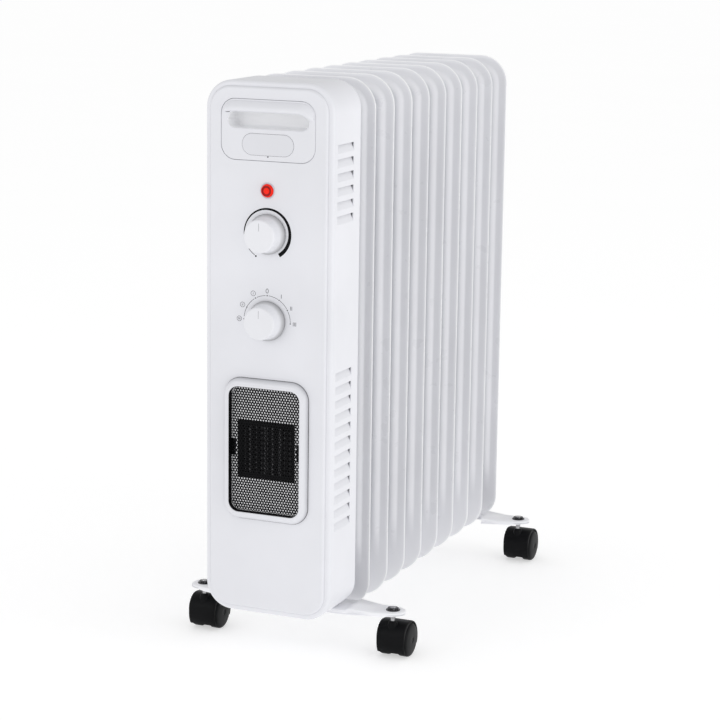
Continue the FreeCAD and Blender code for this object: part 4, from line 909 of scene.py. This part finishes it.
def build_feet(stems):
    """Foot arms, and the nuts and pins that hold the casters to them."""
    for row in ("front", "rear"):
        stem_x, stem_y = stems[row + "_right"]
        bolts = frame["nodes"]["u_bolts_with_wing_nuts"].data.vertices
        near = [v.co.y for v in bolts if abs(v.co.y - stem_y) < 40 * MM]
        bolt_y = (min(near) + max(near)) / 2
        shell = bracket_shell(row + "_foot_bracket", stem_x, stem_y, bolt_y)
        piece(row + "_foot_arm", shell, ["bracket_enamel"], "heater",
              [row + "_foot_bracket"], 40)
    stem_low, stem_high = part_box("caster_stems_with_nuts")
    seat = stem_high.z - 3.6 * MM
    nuts, pins = Shell(), Shell()
    for x, y in stems.values():
        washer = [(7.9 * MM, -0.1 * MM), (7.9 * MM, 0.5 * MM), (7.5 * MM, 0.8 * MM), (6.6 * MM, 0.9 * MM)]
        nuts.loft(turned(washer, (x, y, seat), "Z", 48))
        hexagon = []
        for reach, z in ((6.5, 0.7), (6.5, 2.1), (6.1, 2.6), (4.9, 3.0)):
            ring = []
            for i in range(36):
                a = math.radians(10 * i)
                flat = math.cos(math.radians(30)) / math.cos(math.radians((10 * i) % 60 - 30))
                keep = 1.0 if z > 2.5 else flat
                ring.append((x + reach * MM * keep * math.cos(a), y + reach * MM * keep * math.sin(a),
                             seat + z * MM))
            hexagon.append(ring)
        nuts.loft(hexagon)
        stud = [(3.6 * MM, 2.9 * MM), (3.4 * MM, 3.4 * MM), (2.4 * MM, 3.58 * MM), (0.1 * MM, 3.6 * MM)]
        nuts.loft(turned(stud, (x, y, seat), "Z", 32), 1)
        pin = [(2.6 * MM, stem_low.z - seat), (2.6 * MM, -9 * MM), (3.0 * MM, -8.6 * MM),
               (3.0 * MM, -2.2 * MM), (4.0 * MM, -2 * MM), (4.0 * MM, 0.2 * MM)]
        pins.loft(turned(pin, (x, y, seat), "Z", 40))
    piece("stem_pins", pins, ["stem_chrome"], "heater", ["caster_stems_with_nuts"], 40)
    piece("stem_nuts", nuts, ["nut_steel", "stem_chrome"], "heater", (), 35)


def hood_outline(offset, r, crown, brow_r, y, z):
    """Outer line of a caster hood, from its rear lip over the flat crown and down the front."""
    top, outer, brow = crown - offset, r - offset, brow_r - offset
    line = arc(0, 0, outer, -24, 78, 18)
    line += arc(-(outer - brow), top - brow, brow, 90, 180, 14)
    line += arc(0, 0, outer, 180, 214, 7)
    return [(y + a, z + b) for a, b in line]


def build_caster(name):
    """One twin-wheel caster: its hood with a socket for the stem, and two wheels."""
    hood_low, hood_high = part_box(name + "_hood")
    wheel_low, wheel_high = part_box(name + "_left_wheel")
    y, z = (wheel_low.y + wheel_high.y) / 2, (wheel_low.z + wheel_high.z) / 2
    x = (hood_low.x + hood_high.x) / 2
    wheel_r = (wheel_high.z - wheel_low.z) / 2
    half = (hood_high.x - hood_low.x) / 2
    r, crown = y - hood_low.y, hood_high.z - z
    inner_r = wheel_r + 0.8 * MM
    inner = [(y + a, z + b) for a, b in arc(0, 0, inner_r, 214, -24, 44)]
    shell = Shell()
    rings = []
    for edge, offset in ((0, 1.1), (0.25, 0.55), (0.8, 0.15), (1.6, 0), (2 * half / MM - 1.6, 0),
                         (2 * half / MM - 0.8, 0.15), (2 * half / MM - 0.25, 0.55), (2 * half / MM, 1.1)):
        outline = hood_outline(offset * MM, r, crown, HOOD_BROW_R, y, z) + inner
        rings.append([(x - half + edge * MM, a, b) for a, b in outline])
    shell.loft(rings)
    keel = [(y + a, z + b) for a, b in arc(0, 0, r - 1.5 * MM, 8, 78, 10)]
    keel += [(y - 13 * MM, z + 15 * MM), (y - r + 1.5 * MM, z), (y - r + 3.5 * MM, z - 9 * MM),
             (y + 12 * MM, z - 9 * MM)]
    shell.loft([[(x + s * 2.5 * MM, a, b) for a, b in keel] for s in (-1, 1)])
    stem_y = y - STEM_TRAIL
    socket = [(5.6 * MM, 13 * MM - z), (5.6 * MM, crown - 3 * MM), (5.2 * MM, crown - 1.2 * MM),
              (4.6 * MM, crown + 0.4 * MM), (4.0 * MM, crown + 1.6 * MM), (3.3 * MM, crown + 1.8 * MM)]
    shell.loft(turned(socket, (x, stem_y, z), "Z", 40))
    piece(name + "_cover", shell, ["caster_plastic"], name, [name + "_hood"], 40)
    for hand, side in (("left", -1), ("right", 1)):
        node = "%s_%s_wheel" % (name, hand)
        low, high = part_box(node)
        inside = (high.x if side < 0 else low.x) - x
        wide = abs(high.x - low.x)
        tread = wide - 1.6 * MM
        profile = [(2.56 * MM, 0), (wheel_r - 2 * MM, 0), (wheel_r - 0.5 * MM, 0.3 * MM), (wheel_r, 1.2 * MM),
                   (wheel_r, tread - 2.4 * MM), (wheel_r - 0.5 * MM, tread - 1.0 * MM),
                   (wheel_r - 1.4 * MM, tread - 0.1 * MM), (wheel_r - 2.6 * MM, tread + 0.5 * MM),
                   (wheel_r - 5.5 * MM, tread + 1.0 * MM), (wheel_r - 10 * MM, tread + 1.4 * MM),
                   (4.0 * MM, tread + 1.6 * MM), (3.0 * MM, tread + 1.5 * MM), (2.56 * MM, tread + 1.1 * MM)]
        shell = Shell()
        shell.loft(turned([(a, inside + side * b) for a, b in profile], (x, y, z), "X", 64),
                   caps=False, wrap=True)
        piece(node + "_disc", shell, ["caster_plastic"], node, [node], 40)


def build_feet_and_casters():
    """Casters first, then the foot arms over their stems."""
    stems = {}
    for name in ("front_left", "front_right", "rear_left", "rear_right"):
        caster = name + "_caster"
        low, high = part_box(caster + "_left_wheel")
        hood = middle(caster + "_hood")
        stems[name] = (hood.x, (low.y + high.y) / 2 - STEM_TRAIL)
        build_caster(caster)
    build_feet(stems)


build_fins()
build_bezel()
build_mesh_sheet()
build_reflector()
build_core()
build_knob("thermostat", "thermostat_dial")
build_knob("selector", "selector_dial")
build_prints()
build_lamp()
build_handle()
build_badge()
build_rim_cove()
build_feet_and_casters()


# ---------------------------------------------------------------- floor, light, camera
FLOOR_SIZE = 40
FLOOR_GLOW = 0.52
WORLD_LIGHT = 0.75
# Each lamp: name, place, size, watts.
LAMPS = (("front_left", (-1.4, -3.2, 1.3), 1.8, 13.0), ("right", (3.2, -0.4, 0.8), 1.6, 20.0))
LAMP_TARGET = Vector((0, 0, 0.3))


def studio():
    """Pale floor that glows a little, even light all round and two soft lamps."""
    bpy.ops.mesh.primitive_plane_add(size=FLOOR_SIZE)
    floor = bpy.context.object
    floor.name = "floor"
    paper = finish("floor_paper", (0.62, 0.62, 0.62), 0.9, vary=0.004, patch=2, bump=0.0, specular=0.0)
    shader = paper.node_tree.nodes["Principled BSDF"]
    shader.inputs["Emission Color"].default_value = (1, 1, 1, 1)
    shader.inputs["Emission Strength"].default_value = FLOOR_GLOW
    floor.data.materials.append(paper)
    world = bpy.data.worlds.new("studio")
    bpy.context.scene.world = world
    world.use_nodes = True
    world.node_tree.nodes["Background"].inputs["Color"].default_value = (1, 1, 1, 1)
    world.node_tree.nodes["Background"].inputs["Strength"].default_value = WORLD_LIGHT
    for name, place, size, power in LAMPS:
        lamp = bpy.data.lights.new(name, "AREA")
        lamp.energy, lamp.size = power, size
        held = bpy.data.objects.new(name, lamp)
        bpy.context.scene.collection.objects.link(held)
        held.location = place
        held.rotation_euler = (LAMP_TARGET - Vector(place)).to_track_quat("-Z", "Y").to_euler()


CAMERA_AZIMUTH = math.radians(23.178)
CAMERA_ELEVATION = math.radians(11.505)
CAMERA_ROLL = math.radians(0.762)
CAMERA_PLACE = Vector((1.0155, -2.379, 0.8204))
CAMERA_LENS = 112.38
SENSOR_WIDTH = 36.0


def make_camera():
    """Camera at the photograph's viewing angle, turned slightly about its own axis."""
    a, e, r = CAMERA_AZIMUTH, CAMERA_ELEVATION, CAMERA_ROLL
    back = Vector((math.sin(a) * math.cos(e), -math.cos(a) * math.cos(e), math.sin(e)))
    right = Vector((math.cos(a), math.sin(a), 0))
    up = back.cross(right)
    turned_right = right * math.cos(r) + up * math.sin(r)
    turned_up = up * math.cos(r) - right * math.sin(r)
    lens = bpy.data.cameras.new("camera")
    lens.lens, lens.sensor_width = CAMERA_LENS, SENSOR_WIDTH
    camera = bpy.data.objects.new("camera", lens)
    bpy.context.scene.collection.objects.link(camera)
    turn = Matrix((turned_right, turned_up, back)).transposed().to_4x4()
    camera.matrix_world = Matrix.Translation(CAMERA_PLACE) @ turn
    bpy.context.scene.camera = camera


studio()
make_camera()
bpy.context.scene.view_settings.view_transform = "Standard"
